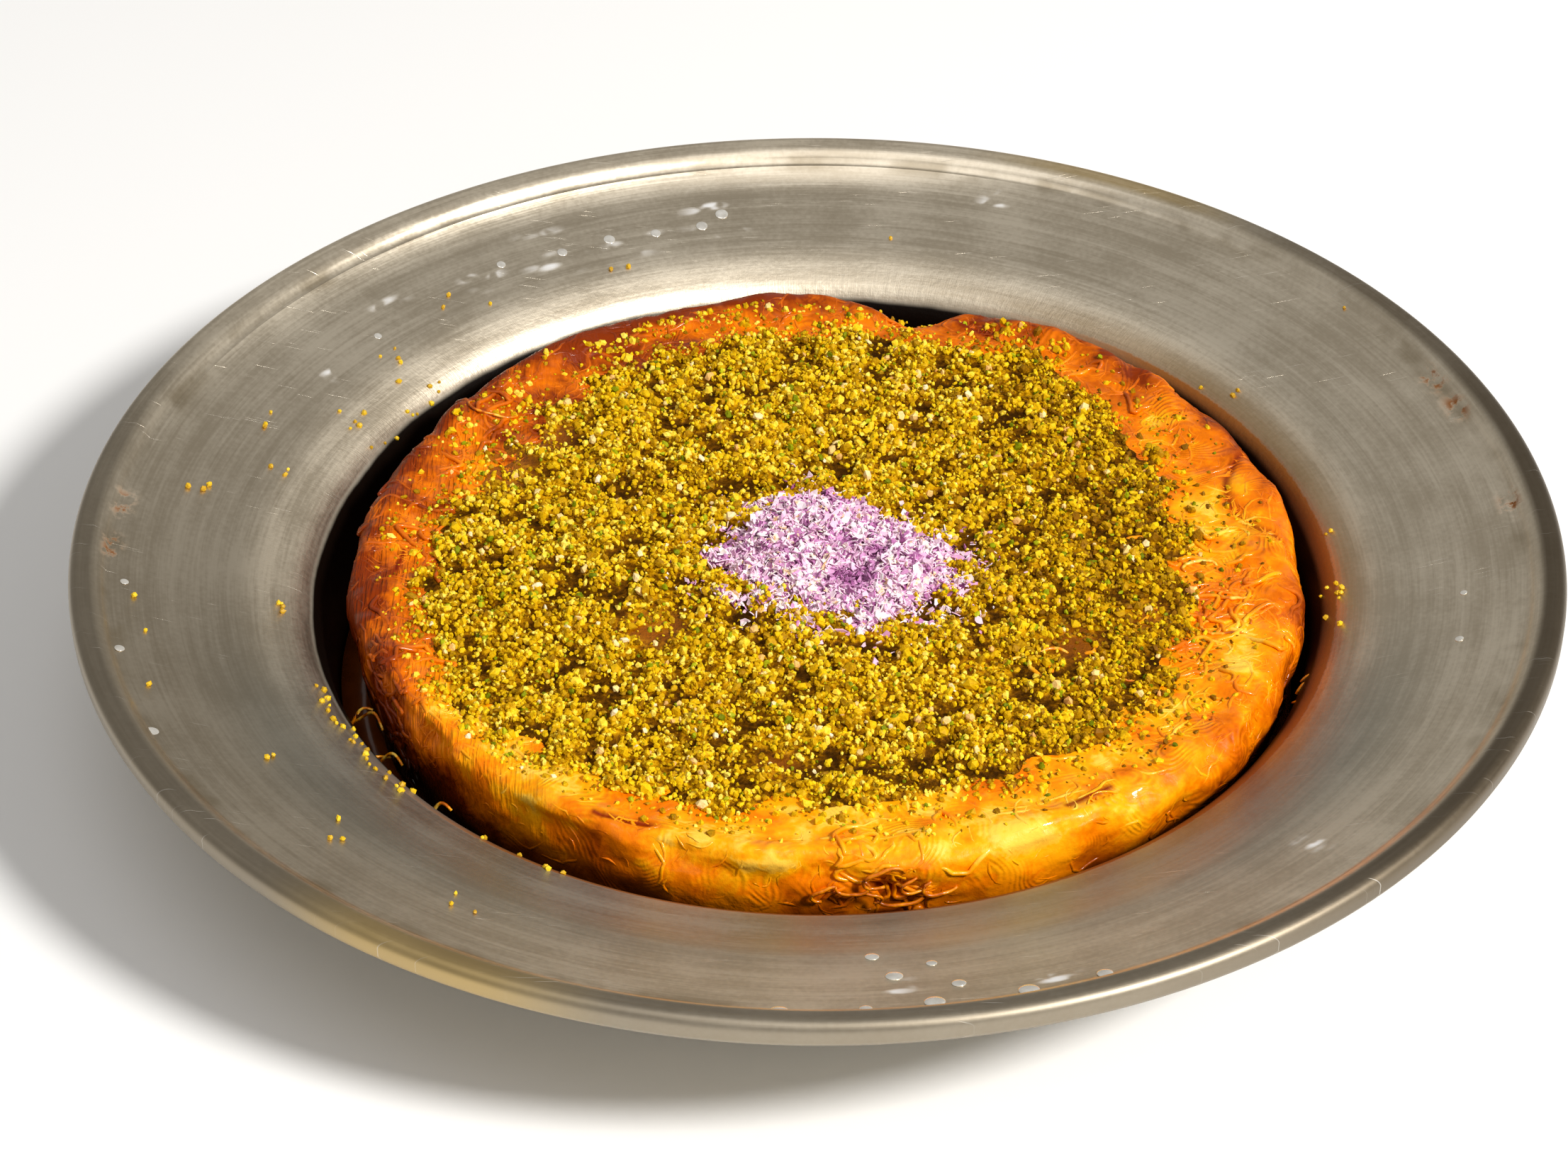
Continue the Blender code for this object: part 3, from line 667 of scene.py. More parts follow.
def lumpAt(angle, along):
    # the unevenness that the solid has too
    p = pastrySizes
    fade = clamp(along / 0.25) * clamp((0.78 - along) / 0.16)
    x, y = p["radius"] * math.cos(angle), p["radius"] * math.sin(angle)
    height, size = p["lump"]
    middle, width, depth = p["notch"]
    rough = noise.noise(Vector((x / size, y / size, along * 5.0)))
    dent = 0.4 * depth * swell(angle, middle, width)
    middle, width, rise = p["blister"]
    blister = rise * swell(angle, middle, width) * math.exp(-(((along - 0.42) / 0.14) ** 2))
    raised = sum(rise * swell(angle, middle, width) for middle, width, rise in p["raises"])
    raised *= math.exp(-(((along - 0.36) / 0.16) ** 2))
    return fade * (height * rough - dent + blister + raised)


def grooveAt(angle, along):
    # the line round the blister's inner side, from 0 to 1
    wide, high, _ = pastrySizes["groove"]
    away = (angle - pastrySizes["blister"][0] + math.pi) % tau - math.pi
    ring = math.hypot(away / wide, (along - 0.40) / high)
    return clamp((0.42 - along) / 0.10) * math.exp(-(((ring - 1) / 0.07) ** 2))


def hollowAt(angle, along):
    # the torn hollow in the near edge, from 0 to 1
    middle, height, wide, high, _ = pastrySizes["hollow"]
    away = (angle - middle + math.pi) % tau - math.pi
    torn = 1 + 0.5 * noise.noise(Vector((angle * 40, along * 22, 5.0)))
    return math.exp(-torn * ((away / wide) ** 2 + ((along - height) / high) ** 2))


def crackAt(x, y):
    # how deep a crack is at a place, from 0 to 1
    deep = 0.0
    for line in cracks:
        for (x0, y0), (x1, y1) in zip(line, line[1:]):
            share = clamp(((x - x0) * (x1 - x0) + (y - y0) * (y1 - y0)) / ((x1 - x0) ** 2 + (y1 - y0) ** 2))
            away = math.hypot(x - x0 - share * (x1 - x0), y - y0 - share * (y1 - y0))
            deep = max(deep, math.exp(-((away / 0.5) ** 2)))
    return deep


def fineRelief(point):
    # pits and crests of the matted threads
    broad = noise.noise(point / (4.2 * mm))
    middle = noise.noise(point / (1.7 * mm) + Vector((7.3, 1.1, 3.9)))
    crack = crackAt(point.x / mm + 1.0, point.y / mm + 1.0)
    return 0.34 * mm * broad + 0.16 * mm * middle - 0.5 * mm * crack


def innerTop(x, y):
    # height of the pastry's top under the nut, a low dome
    p = pastrySizes
    away = math.hypot(x - p["x"], y - p["y"])
    fall = clamp((away - 33 * mm) / (20 * mm))
    rough = 0.22 * mm * cloud(x, y, 8 * mm, 3.0) + 0.8 * fineRelief(Vector((x, y, 0.0)))
    return p["top"] + p["dome"] - 0.55 * mm * fall * fall * (3 - 2 * fall) + rough


def crustSurface(angle, along, fine=1.0):
    bare = crustPoint(angle, along)
    rise = lumpAt(angle, along) + fine * clamp((0.97 - along) / 0.05) * fineRelief(bare)
    rise -= pastrySizes["groove"][2] * grooveAt(angle, along)
    rise -= pastrySizes["hollow"][4] * hollowAt(angle, along)
    point = bare + crustNormal(angle, along) * rise
    point += Vector((pastrySizes["x"], pastrySizes["y"], 0.0))
    blend = clamp(1 - along / 0.22)
    point.z += (innerTop(point.x, point.y) - point.z) * blend * blend * (3 - 2 * blend)
    return point


def topRows(angles, rings):
    # the pastry's top from its middle out to where the crust's section starts
    p = pastrySizes
    rows = [[Vector((p["x"], p["y"], innerTop(p["x"], p["y"])))]]
    for k in range(1, rings):
        row = []
        for angle in angles:
            radius = (reachAt(nutReach, angle) * mm + p["seatMargin"]) * k / rings
            x, y = p["x"] + radius * math.cos(angle), p["y"] + radius * math.sin(angle)
            row.append(Vector((x, y, innerTop(x, y))))
        rows.append(row)
    return rows


def pastryMesh():
    p = pastrySizes
    angles = [tau * i / p["steps"] for i in range(p["steps"])]
    rows = topRows(angles, p["topRings"])
    topCount = sum(len(row) for row in rows)
    rows += [[crustSurface(angle, k / p["rings"]) for angle in angles] for k in range(p["rings"] + 1)]
    rows.append([Vector((p["x"], p["y"], p["foot"]))])
    mesh = skin("pastry", rows)
    # painted shade: the groove round the blister, the torn hollow and the cracks get a darker colour
    dark = [0.0] * topCount
    for k in range(p["rings"] + 1):
        for angle in angles:
            along = k / p["rings"]
            dark.append(max(0.9 * grooveAt(angle, along), hollowAt(angle, along)))
    dark.append(1.0)
    for i, vertex in enumerate(mesh.vertices):
        dark[i] = max(dark[i], crackAt(vertex.co.x / mm, vertex.co.y / mm))
    setShare(mesh, "dark", dark)
    return mesh


pastryLook = {
    "deep": screen(128, 44, 0),
    "amber": screen(196, 90, 0),
    "orange": screen(242, 126, 0),
    "gold": screen(255, 172, 8),
    "pale": screen(255, 224, 96),
    # painted shade at the bottom in the gap, with some real browning of the underside
    "browningAndShade": screen(26, 8, 0),
    # painted shade in the groove, the torn hollow and the cracks
    "torn": screen(120, 26, 0),
}


def crustColour(net, tone):
    # shared by the crust and its threads; tone is 0 for dark and 1 for pale
    look = pastryLook
    at = net.place()
    x, y, z = net.parts(at)
    broad = net.noise(at, 15 * mm, 2.0)
    middle = net.noise(at, 4.5 * mm, 3.0, 0.6)
    # painted light and shade: the left and far sides are darker and redder, turned from the light, the near
    # side golden where it is lit, and its foot redder again in shade
    side = x * 1.6 - y * 4.4
    foot = 1 - net.step(z + (broad - 0.5) * 3 * mm, 14.5 * mm, 21.0 * mm)
    nearLit = net.step(-1 * y, 34 * mm, 54 * mm)
    centre = (pastrySizes["x"], pastrySizes["y"], 0.0)
    away = net.vector("DISTANCE", net.flat(at), centre, out="Value")
    # painted shade: the steep outer side is darker, except at the near side
    outer = net.step(away, 58.0 * mm, 63.8 * mm) * (1 - nearLit)
    uneven = (broad - 0.5) * 1.3 + (middle - 0.5) * 1.1 + tone * 0.36
    warmWithPaintedLight = uneven + side - foot * (0.38 - nearLit * 0.12) - outer * 0.24 + 0.34
    warmWithPaintedLight = net.math("MINIMUM", warmWithPaintedLight, 0.88 - foot * 0.34)
    places = {"deep": 0.0, "amber": 0.22, "orange": 0.5, "gold": 0.76, "pale": 1.0}
    colour = net.ramp(warmWithPaintedLight, [(spot, look[name]) for name, spot in places.items()])
    # painted shade: darker, then near black, towards the bottom in the deep gap, with some real browning of
    # the baked underside
    edge = z + (broad - 0.5) * 5 * mm + (middle - 0.5) * 3 * mm
    colour = net.mix((1 - net.step(edge, 11.0 * mm, 16.0 * mm)) * 0.7, colour, look["deep"])
    return net.mix(1 - net.step(edge, 8.5 * mm, 13.5 * mm), colour, look["browningAndShade"])


def levelBands(net, place, size, count):
    # bands along the level lines of a noise, as threads lie when they are pressed together
    return net.math("SINE", net.noise(place, size, 0.0) * count) * 0.5 + 0.5


def writeCrust(net):
    # the matted threads show in patches that run differently, and are combed one way at the left
    at = net.place()
    x, y, z = net.parts(at)
    fine = net.noise(at, 0.9 * mm, 3.0, 0.6)
    curly = levelBands(net, net.shifted(at, x=0.3), 9 * mm, 125)
    crossing = levelBands(net, net.shifted(at, y=0.5), 8 * mm, 120)
    combed = net.noise(net.stretched(at, (0.3, 0.0, 0.25), (2300, 260, 500)), 1.0, 1.0)
    patch = net.step(net.noise(net.shifted(at, z=0.7), 7 * mm, 1.0), 0.44, 0.56)
    shown = net.step(net.noise(net.shifted(at, x=0.9), 6 * mm, 2.0), 0.38, 0.66)
    left = 1 - net.step(x, -52 * mm, -28 * mm)
    near = net.step(-1 * y, 30 * mm, 58 * mm)
    strands = (curly * patch + crossing * (1 - patch)) * shown * (1 - left * 0.8) * (1 - near * 0.35)
    strands = strands + net.step(combed, 0.3, 0.7) * left * 0.9
    colour = crustColour(net, fine * 0.6 + strands * 0.34)
    # painted shade: darker in the groove, the torn hollow and the cracks
    dark = net.attribute("dark")
    return {
        "Base Color": net.mix(dark, colour, pastryLook["torn"]),
        "Roughness": 0.30 + fine * 0.2,
        "Coat Weight": net.step(net.noise(at, 3 * mm, 2.0), 0.52, 0.66) * 0.6 * (1 - dark),
        "Normal": bump(net, strands * 0.5 + combed * left * 1.2 + fine * 0.5, 0.22 * mm),
    }


def writeThread(net):
    tone = net.attribute("tone")
    fine = net.noise(net.place(), 0.8 * mm, 2.0)
    return {
        "Base Color": crustColour(net, tone * 0.65 + fine * 0.3 + 0.08),
        "Roughness": 0.22 + fine * 0.2,
        "Normal": bump(net, fine, 0.10 * mm),
    }


# Threads of pastry that lie over the crust

threadKinds = {
    "crust_threads": {
        "perArea": 0.16 / mm ** 2, "points": 11, "long": 8.0 * mm, "bend": 2.0, "radius": 0.30 * mm,
        "stray": 1.1 * mm, "sink": 0.15 * mm, "proud": 0.20 * mm, "sides": 5, "seed": 4,
    },
    "crust_frizz": {
        "perArea": 0.46 / mm ** 2, "points": 7, "long": 4.4 * mm, "bend": 2.0, "radius": 0.17 * mm,
        "stray": 0.8 * mm, "sink": 0.10 * mm, "proud": 0.10 * mm, "sides": 4, "seed": 9,
    },
    "curled_threads": {
        "perArea": 0.34 / mm ** 2, "points": 14, "long": 5.5 * mm, "bend": 3.4, "radius": 0.34 * mm,
        "stray": 1.6 * mm, "sink": 0.05 * mm, "proud": 0.70 * mm, "sides": 6, "seed": 15,
    },
}
# where curled threads lie loose on the crust: x, y, reach in mm along x and y, how thick
curlPlaces = [
    (54, -9, 7, 9, 1.0), (47, -22, 7, 5, 0.4), (-47, 34, 4, 4, 0.5), (-56, -30, 4, 8, 0.5),
    (8, -61, 6, 3, 0.7), (34, -23, 9, 3, 0.35), (40, 42, 8, 5, 0.25), (-54, 6, 5, 14, 0.4),
    (-50, 27, 5, 7, 0.35),
]


def writeThreads(net, given, cover):
    # arcs scattered on the crust, bent by noise, laid back on its surface and given a round section
    seed, long = given.also("seed"), given.also("long")
    spots = net.spots(given, cover)
    line = net.node("GeometryNodeCurvePrimitiveLine", {}, {"Start": (-0.5, 0.0, 0.0), "End": (0.5, 0.0, 0.0)})
    values = {"Curve": line, "Count": given.also("points")}
    line = net.node("GeometryNodeResampleCurve", {"mode": "COUNT"}, values)
    factor = net.node("GeometryNodeSplineParameter")
    arch = net.moved(line, net.join(0.0, factor * (1 - factor), 0.0))
    turn = net.join(0.0, 0.0, net.chance(0.0, tau, seed + 1))
    spin = net.node("FunctionNodeEulerToRotation", {}, {"Euler": turn})
    values = {"Rotation": spots.also("Rotation"), "Rotate By": spin}
    turned = net.node("FunctionNodeRotateRotation", {"rotation_space": "LOCAL"}, values)
    length = long * net.chance(0.5, 1.4, seed + 2)
    bend = net.chance(-1.0, 1.0, seed + 3) * given.also("bend") * long
    strands = net.instances(spots, arch, turned, net.join(length, bend, length))
    strands = net.keep(strands, "tone", net.chance(0.0, 1.0, seed + 4))
    strands = net.keep(strands, "lift", net.chance(0.1, 1.0, seed + 5))
    at = net.node("GeometryNodeInputPosition")
    values = {"Vector": at, "W": net.stored("tone") * 40, "Scale": 260.0, "Detail": 1.0}
    drift = net.drift({"noise_dimensions": "4D"}, values, given.also("stray") * 4)
    laid = net.moved(net.realized(strands), drift)

    def onBed(value):
        values = {"Mesh": given, "Sample Position": at, "Value": value}
        return net.node("GeometryNodeSampleNearestSurface", {"data_type": "FLOAT_VECTOR"}, values)

    on, out = onBed(at), onBed(net.node("GeometryNodeInputNormal"))
    arched = net.math("SINE", net.node("GeometryNodeSplineParameter") * math.pi)
    proud = given.also("proud") * arched * net.stored("lift") - given.also("radius")
    proud = proud - given.also("sink") * (1 - arched)
    rest = net.vector("ADD", on, net.scaled(out, proud))
    laid = net.node("GeometryNodeSetPosition", {}, {"Geometry": laid, "Position": rest})
    section = {"Resolution": given.also("sides"), "Radius": given.also("radius")}
    ring = net.node("GeometryNodeCurvePrimitiveCircle", {}, section)
    tube = net.node("GeometryNodeCurveToMesh", {}, {"Curve": laid, "Profile Curve": ring, "Fill Caps": True})
    return net.node("GeometryNodeSetShadeSmooth", {}, {"Geometry": tube})


def curledAt(x, y):
    shares = [
        much * math.exp(-((x - a) / wide) ** 2 - ((y - b) / deep) ** 2)
        for a, b, wide, deep, much in curlPlaces
    ]
    return max(shares)


bedSizes = {"steps": 240, "rings": 40, "topRings": 24, "reach": 0.88, "fine": 0.6}


def crustBed():
    # the bare crust, with how thick the threads lie on it; they are few at the near side
    b = bedSizes
    angles = [tau * i / b["steps"] for i in range(b["steps"])]
    rows = topRows(angles, b["topRings"])
    topCount = sum(len(row) for row in rows)
    for k in range(b["rings"] + 1):
        rows.append([crustSurface(angle, b["reach"] * k / b["rings"], b["fine"]) for angle in angles])
    mesh = skin("crust_bed", rows)
    thick = []
    for i, vertex in enumerate(mesh.vertices):
        point = vertex.co
        patch = 0.55 + 0.9 * noise.noise(point / (11 * mm) + Vector((3.0, 8.0, 1.0)))
        sides = 0.3 * clamp(abs(point.x) / (50 * mm)) - 0.62 * clamp((-point.y - 34 * mm) / (12 * mm))
        bare = bareAt(point.x, point.y) * 0.2
        edge = clamp(patch + sides, 0.15, 1.0) * clamp((point.z - 13 * mm) / (3 * mm))
        thick.append(bare if i < topCount and nutShare(point.x, point.y) < 0.9 else edge)
    setShare(mesh, "thick", thick)
    setShare(mesh, "curled", [curledAt(vertex.co.x / mm, vertex.co.y / mm) for vertex in mesh.vertices])
    return addPiece("crust_bed", mesh)


def makeThreads(material):
    bed = crustBed()
    for name, sizes in threadKinds.items():
        cover = "curled" if name == "curled_threads" else "thick"
        mesh = grow(bed, name, sizes, material, lambda net, given: writeThreads(net, given, cover))
        place(addPiece(name, mesh), "pastry")
        print(name, len(mesh.polygons), "faces")
    bpy.data.objects.remove(bed)


# loose threads: x, y, size across in mm, first turn and sweep in degrees, how far over the crust they bow
# in mm; below 0 is for one that stands in front of the torn hollow, that far under the top
looseThreads = [
    (52, -3, 4.0, 20, 190, 0.3), (56, -9, 3.4, 120, 220, 0.3), (54.5, -15.5, 6.0, 0, 340, 0.1),
    (39, -25, 9.0, 230, 80, 0.4), (-46, 34, 5.6, 160, 200, 0.6), (30, -24, 6.0, 40, 90, 0.4),
    (4, 0, 3.4, 180, 220, -3.0), (8, 0, 4.4, 20, 250, -2.0), (12, 0, 3.2, 90, 230, -3.4),
    (10, 0, 5.0, 200, 160, -4.6), (6, 0, 2.8, 300, 240, -5.0), (15, 0, 3.6, 140, 200, -4.0),
    (1, 0, 3.4, 60, 180, -4.4),
]
# threads that hang in the gap: two ends, each x, y, z, and how far they bow sideways, in mm
gapThreads = [
    ((-57.0, -29.0, 14.0), (-65.0, -25.0, 12.0), 2.5), ((-56.0, -31.0, 11.0), (-63.5, -29.0, 9.0), -2.0),
    ((-54.0, -35.0, 13.0), (-61.0, -33.0, 10.0), 2.0), ((-58.5, -26.0, 15.0), (-63.5, -28.0, 9.0), 1.5),
    ((64.2, -20.0, 15.0), (67.6, -19.0, 16.4), 1.2), ((63.4, -22.0, 14.5), (66.8, -23.0, 15.0), -1.2),
    ((62.6, -24.5, 15.0), (65.6, -24.0, 13.0), 1.4), ((-47.0, -44.0, 13.0), (-52.0, -44.5, 10.0), 1.5),
]
looseSizes = {"radius": 0.27 * mm, "sides": 6, "points": 16, "seed": 6, "off": 0.2 * mm, "bow": 0.9 * mm}


def tubeAlong(shape, points, radius, sides):
    # a closed tube along a line of points, thinner at its ends
    rings = []
    for i, point in enumerate(points):
        ahead = (points[min(i + 1, len(points) - 1)] - points[max(i - 1, 0)]).normalized()
        level = Vector((0.0, 0.0, 1.0)) if abs(ahead.z) < 0.9 else Vector((1.0, 0.0, 0.0))
        across = ahead.cross(level).normalized()
        over = across.cross(ahead)
        share = radius * (0.75 + 0.25 * math.sin(math.pi * i / (len(points) - 1)))
        rings.append([])
        for k in range(sides):
            way = math.cos(tau * k / sides) * across + math.sin(tau * k / sides) * over
            rings[-1].append(shape.verts.new(point + share * way))
    for lower, upper in zip(rings, rings[1:]):
        for k in range(sides):
            shape.faces.new((lower[k], lower[(k + 1) % sides], upper[(k + 1) % sides], upper[k]))
    shape.faces.new(rings[0][::-1])
    shape.faces.new(rings[-1])


def looseMesh():
    s, p = looseSizes, pastrySizes
    draw = random.Random(s["seed"])
    shape = bmesh.new()
    for x, y, across, start, sweep, lift in looseThreads:
        points = []
        for k in range(s["points"]):
            t = k / (s["points"] - 1)
            turn = math.radians(start + sweep * t)
            spread = 0.5 * across * mm * (1 + 0.25 * math.sin(2.3 * turn))
            px, py = x * mm + spread * math.cos(turn), y * mm + 0.8 * spread * math.sin(turn)
            bowed = math.sin(math.pi * t)
            if lift < 0:
                away = p["radius"] + s["off"] - s["bow"] * (0.5 - 0.5 * bowed)
                front = p["y"] - math.sqrt(away ** 2 - (px - p["x"]) ** 2)
                points.append(Vector((px, front, p["top"] + lift * mm + 0.8 * spread * math.sin(turn))))
            else:
                points.append(Vector((px, py, pastryTop(px, py) + lift * mm * bowed)))
        tubeAlong(shape, points, s["radius"] * draw.uniform(0.75, 1.1), s["sides"])
    for start, end, bow in gapThreads:
        start, end = Vector(start) * mm, Vector(end) * mm
        side = (end - start).cross(Vector((0, 0, 1))).normalized() * bow * mm
        points = []
        for k in range(s["points"]):
            t = k / (s["points"] - 1)
            wave = side * math.sin(math.pi * t) + Vector((0, 0, 1.2 * mm * math.sin(tau * t)))
            points.append(start.lerp(end, t) + wave)
        tubeAlong(shape, points, s["radius"] * draw.uniform(0.7, 1.0), s["sides"])
    bmesh.ops.recalc_face_normals(shape, faces=shape.faces)
    mesh = bpy.data.meshes.new("loose_threads")
    shape.to_mesh(mesh)
    shape.free()
    return mesh


def writeLoose(net):
    # painted shade: darker at the near side, in the torn hollow
    fine = net.noise(net.place(), 1.4 * mm, 2.0)
    x, y, z = net.parts(net.place())
    near = net.step(-1 * y, 48 * mm, 58 * mm)
    stops = [
        (0.0, screen(120, 44, 0)), (0.35, screen(204, 104, 0)),
        (0.65, screen(246, 156, 12)), (1.0, screen(255, 206, 84)),
    ]
    return {
        "Base Color": net.ramp(net.step(fine, 0.25, 0.75) * (1 - near * 0.5) + 0.1, stops),
        "Roughness": 0.25 + fine * 0.15,
        "Normal": bump(net, fine, 0.1 * mm),
    }


# Ground pistachio

nutSizes = {
    "x": pastrySizes["x"],
    "y": pastrySizes["y"],
    "foot": 20.2 * mm,
    "edge": 0.4 * mm,
    "depth": 0.55 * mm,
    "sunk": 1.3 * mm,
    "clump": 0.9 * mm,
    "least": 0.15 * mm,
    "spread": 1.12,
    "steps": 420,
    "rings": 170,
}
# thin places in the nut, where the pastry shows: x, y, reach in mm, how bare
thinPlaces = [
    (-22, -17, 7, 0.7), (8, -18, 5, 0.5), (34, -20, 7, 0.6), (-5, -45, 5, 0.6), (21, -25, 5, 0.5),
    (15, 28, 4, 0.4), (-45, 20, 8, 0.8), (-38, 28, 6, 0.7), (-30, 8, 4, 0.4), (38, 5, 4, 0.3),
    (-12, -30, 4, 0.4), (3, 36, 4, 0.4), (-20, 40, 4, 0.4), (28, 40, 4, 0.4), (44, -14, 6, 0.6),
]
# crumbs that spilled over the crust: x, y, reach in mm, how thick
spills = [
    (-44, 36, 8, 0.6), (-58, 8, 6, 0.35), (-54, -16, 7, 0.6), (-26, 54, 9, 0.75), (4, 60, 9, 0.6),
    (30, 54, 8, 0.6), (-47, 24, 7, 0.4), (50, 30, 7, 0.35), (55, 6, 6, 0.30), (46, -30, 6, 0.5),
    (14, -57, 8, 0.3), (-16, -57, 8, 0.35), (-42, -42, 9, 0.5), (-12, 60, 8, 0.5), (42, -40, 8, 0.3),
]
roseReach = [17.0, 11.0, 10.5, 13.0, 13.0, 14.0, 15.5, 16.0, 15.8, 16.5, 18.0, 19.5]
roseSizes = {
    "x": 2.0 * mm,
    "y": 0.0,
    "level": 22.2 * mm,
    "foot": 21.3 * mm,
    "edge": 0.3 * mm,
    "height": 2.6 * mm,
    "spread": 1.2,
    "steps": 150,
    "rings": 44,
}


def roseShare(x, y):
    # the part of a place's way from the heap's middle to its ragged edge
    r = roseSizes
    dx, dy = x - r["x"], y - r["y"]
    ragged = 0.30 * cloud(x, y, 4.2 * mm, 61.0) + 0.22 * cloud(x, y, 1.7 * mm, 67.0)
    return math.hypot(dx, dy) / (reachAt(roseReach, math.atan2(dy, dx)) * mm) + ragged


def clumpAt(x, y):
    # how high the crumbs are heaped, from about -1 to 1
    broad = cloud(x, y, 6.0 * mm, 11.0)
    middle = cloud(x, y, 2.8 * mm, 23.0)
    fine = cloud(x, y, 1.3 * mm, 29.0)
    return 0.6 * broad + 0.75 * middle + 0.35 * fine


def bareAt(x, y):
    # how bare the pastry is of nut, from 0 to 1
    bare = 0.0
    for px, py, reach, share in thinPlaces:
        away = math.hypot(x - px * mm, y - py * mm) / (reach * mm)
        bare = max(bare, share * math.exp(-away * away))
    return bare


def nutShare(x, y):
    # 0 in the middle of the nut and 1 at its edge
    p = pastrySizes
    dx, dy = x - p["x"], y - p["y"]
    return math.hypot(dx, dy) / (reachAt(nutReach, math.atan2(dy, dx)) * mm)


def nutEdge(x, y):
    # 1 where the nut lies and 0 beyond its ragged edge
    ragged = 0.07 * cloud(x, y, 7 * mm, 41.0) + 0.05 * cloud(x, y, 2.6 * mm, 47.0)
    return clamp((1.06 + ragged - nutShare(x, y)) / 0.09)


def pastryTop(x, y):
    # height of the pastry's upper side
    p = pastrySizes
    dx, dy = x - p["x"], y - p["y"]
    angle, radius = math.atan2(dy, dx), math.hypot(dx, dy)
    seat = reachAt(nutReach, angle) * mm + p["seatMargin"]
    if radius <= seat:
        return innerTop(x, y)
    out = clamp((radius - seat) / (outlineAt(angle) - seat), 0.0, 0.97)
    low, high = 0.0, 0.55
    for _ in range(9):
        middle = 0.5 * (low + high)
        if curveThrough(crustOut, middle * crustLast) < out:
            low = middle
        else:
            high = middle
    return crustSurface(angle, low).z


def nutTop(x, y):
    # height of the layer of nut, below the pastry's where it is bare
    n = nutSizes
    deep = max(n["least"], (n["depth"] + n["clump"] * clumpAt(x, y)) * (1 - bareAt(x, y)))
    height = pastryTop(x, y) - n["sunk"] + (n["sunk"] + deep) * nutEdge(x, y)
    cover = clamp((0.85 - roseShare(x, y)) / 0.2)
    return height * (1 - cover) + (roseSizes["level"] - 0.3 * mm) * cover


def nutMesh():
    rows, mesh = closedLayer("nut_bed", nutSizes, nutReach, nutTop)
    spots = [vertex.co for vertex in mesh.vertices]
    setShare(mesh, "bare", [max(bareAt(spot.x, spot.y), 1 - nutEdge(spot.x, spot.y)) for spot in spots])
    setShare(mesh, "heap", [clumpAt(point.x, point.y) for row in rows for point in row])
    return mesh


def writeNutBed(net):
    at = net.place()
    bare, heap = net.attribute("bare"), net.attribute("heap")
    fine = net.noise(at, 0.8 * mm, 3.0, 0.6)
    stops = [
        (0.0, screen(52, 28, 0)), (0.35, screen(108, 66, 0)),
        (0.7, screen(186, 132, 0)), (1.0, screen(226, 176, 16)),
    ]
    # painted shade: darker where the bed lies low between the clumps
    colour = net.ramp(net.step(heap * 0.55 + fine, 0.05, 1.0), stops)
    syrup = net.mix(net.noise(at, 3 * mm, 2.0), screen(120, 54, 0), screen(196, 108, 0))
    return {
        "Base Color": net.mix(net.step(bare, 0.3, 0.8) * 0.8, colour, syrup),
        "Roughness": 0.62 - net.step(bare, 0.2, 0.7) * 0.3,
        "Coat Weight": net.step(bare, 0.3, 0.7) * 0.4,
        "Normal": bump(net, fine, 0.5 * mm),
    }


crumbKinds = {
    "nut_pieces": {
        "perArea": 0.42 / mm ** 2, "small": 0.38 * mm, "large": 0.84 * mm, "lift": 0.5 * mm,
        "rough": 0.75 * mm, "grain": 1500.0, "fine": 1, "seed": 2,
    },
    "nut_crumbs": {
        "perArea": 1.38 / mm ** 2, "small": 0.27 * mm, "large": 0.62 * mm, "lift": 0.9 * mm,
        "rough": 0.50 * mm, "grain": 2000.0, "fine": 1, "seed": 12,
    },
    "nut_grains": {
        "perArea": 1.38 / mm ** 2, "small": 0.21 * mm, "large": 0.44 * mm, "lift": 1.0 * mm,
        "rough": 0.40 * mm, "grain": 2300.0, "fine": 1, "seed": 44,
    },
    "nut_dust": {
        "perArea": 0.92 / mm ** 2, "small": 0.14 * mm, "large": 0.26 * mm, "lift": 1.0 * mm,
        "rough": 0.2 * mm, "grain": 3000.0, "fine": 1, "seed": 31,
    },
    "green_crumbs": {
        "perArea": 0.20 / mm ** 2, "small": 0.20 * mm, "large": 0.56 * mm, "lift": 1.0 * mm,
        "rough": 0.5 * mm, "grain": 1900.0, "fine": 1, "seed": 57,
    },
    "cream_crumbs": {
        "perArea": 0.05 / mm ** 2, "small": 0.30 * mm, "large": 0.80 * mm, "lift": 1.0 * mm,
        "rough": 0.6 * mm, "grain": 1700.0, "fine": 1, "seed": 83,
    },
}
crumbColours = {
    "nut_pieces": [(0.0, (136, 90, 0)), (0.35, (202, 154, 0)), (0.7, (238, 194, 10)), (1.0, (255, 224, 72))],
    "nut_crumbs": [(0.0, (124, 82, 0)), (0.35, (204, 158, 0)), (0.7, (244, 204, 16)), (1.0, (255, 234, 110))],
    "nut_grains": [(0.0, (112, 76, 0)), (0.35, (200, 160, 0)), (0.7, (244, 208, 20)), (1.0, (255, 234, 100))],
    "nut_dust": [(0.0, (96, 58, 0)), (0.5, (192, 142, 0)), (1.0, (246, 204, 40))],
    "green_crumbs": [(0.0, (96, 104, 0)), (0.5, (146, 152, 4)), (1.0, (196, 198, 30))],
    "cream_crumbs": [(0.0, (236, 170, 90)), (0.5, (250, 220, 140)), (1.0, (255, 240, 200))],
}


def scatter(net, given, lowest, heaped, power):
    # points on the seat, raised where it is heaped, with a size for each; most are small
    seed = given.also("seed")
    lift = net.chance(lowest, 1.0, seed + 1) * given.also("lift") * net.stored(heaped)
    high = net.moved(net.spots(given, "cover"), net.join(0.0, 0.0, lift))
    pick = net.chance(0.0, 1.0, seed + 2) ** power
    return high, given.also("small") + (given.also("large") - given.also("small")) * pick


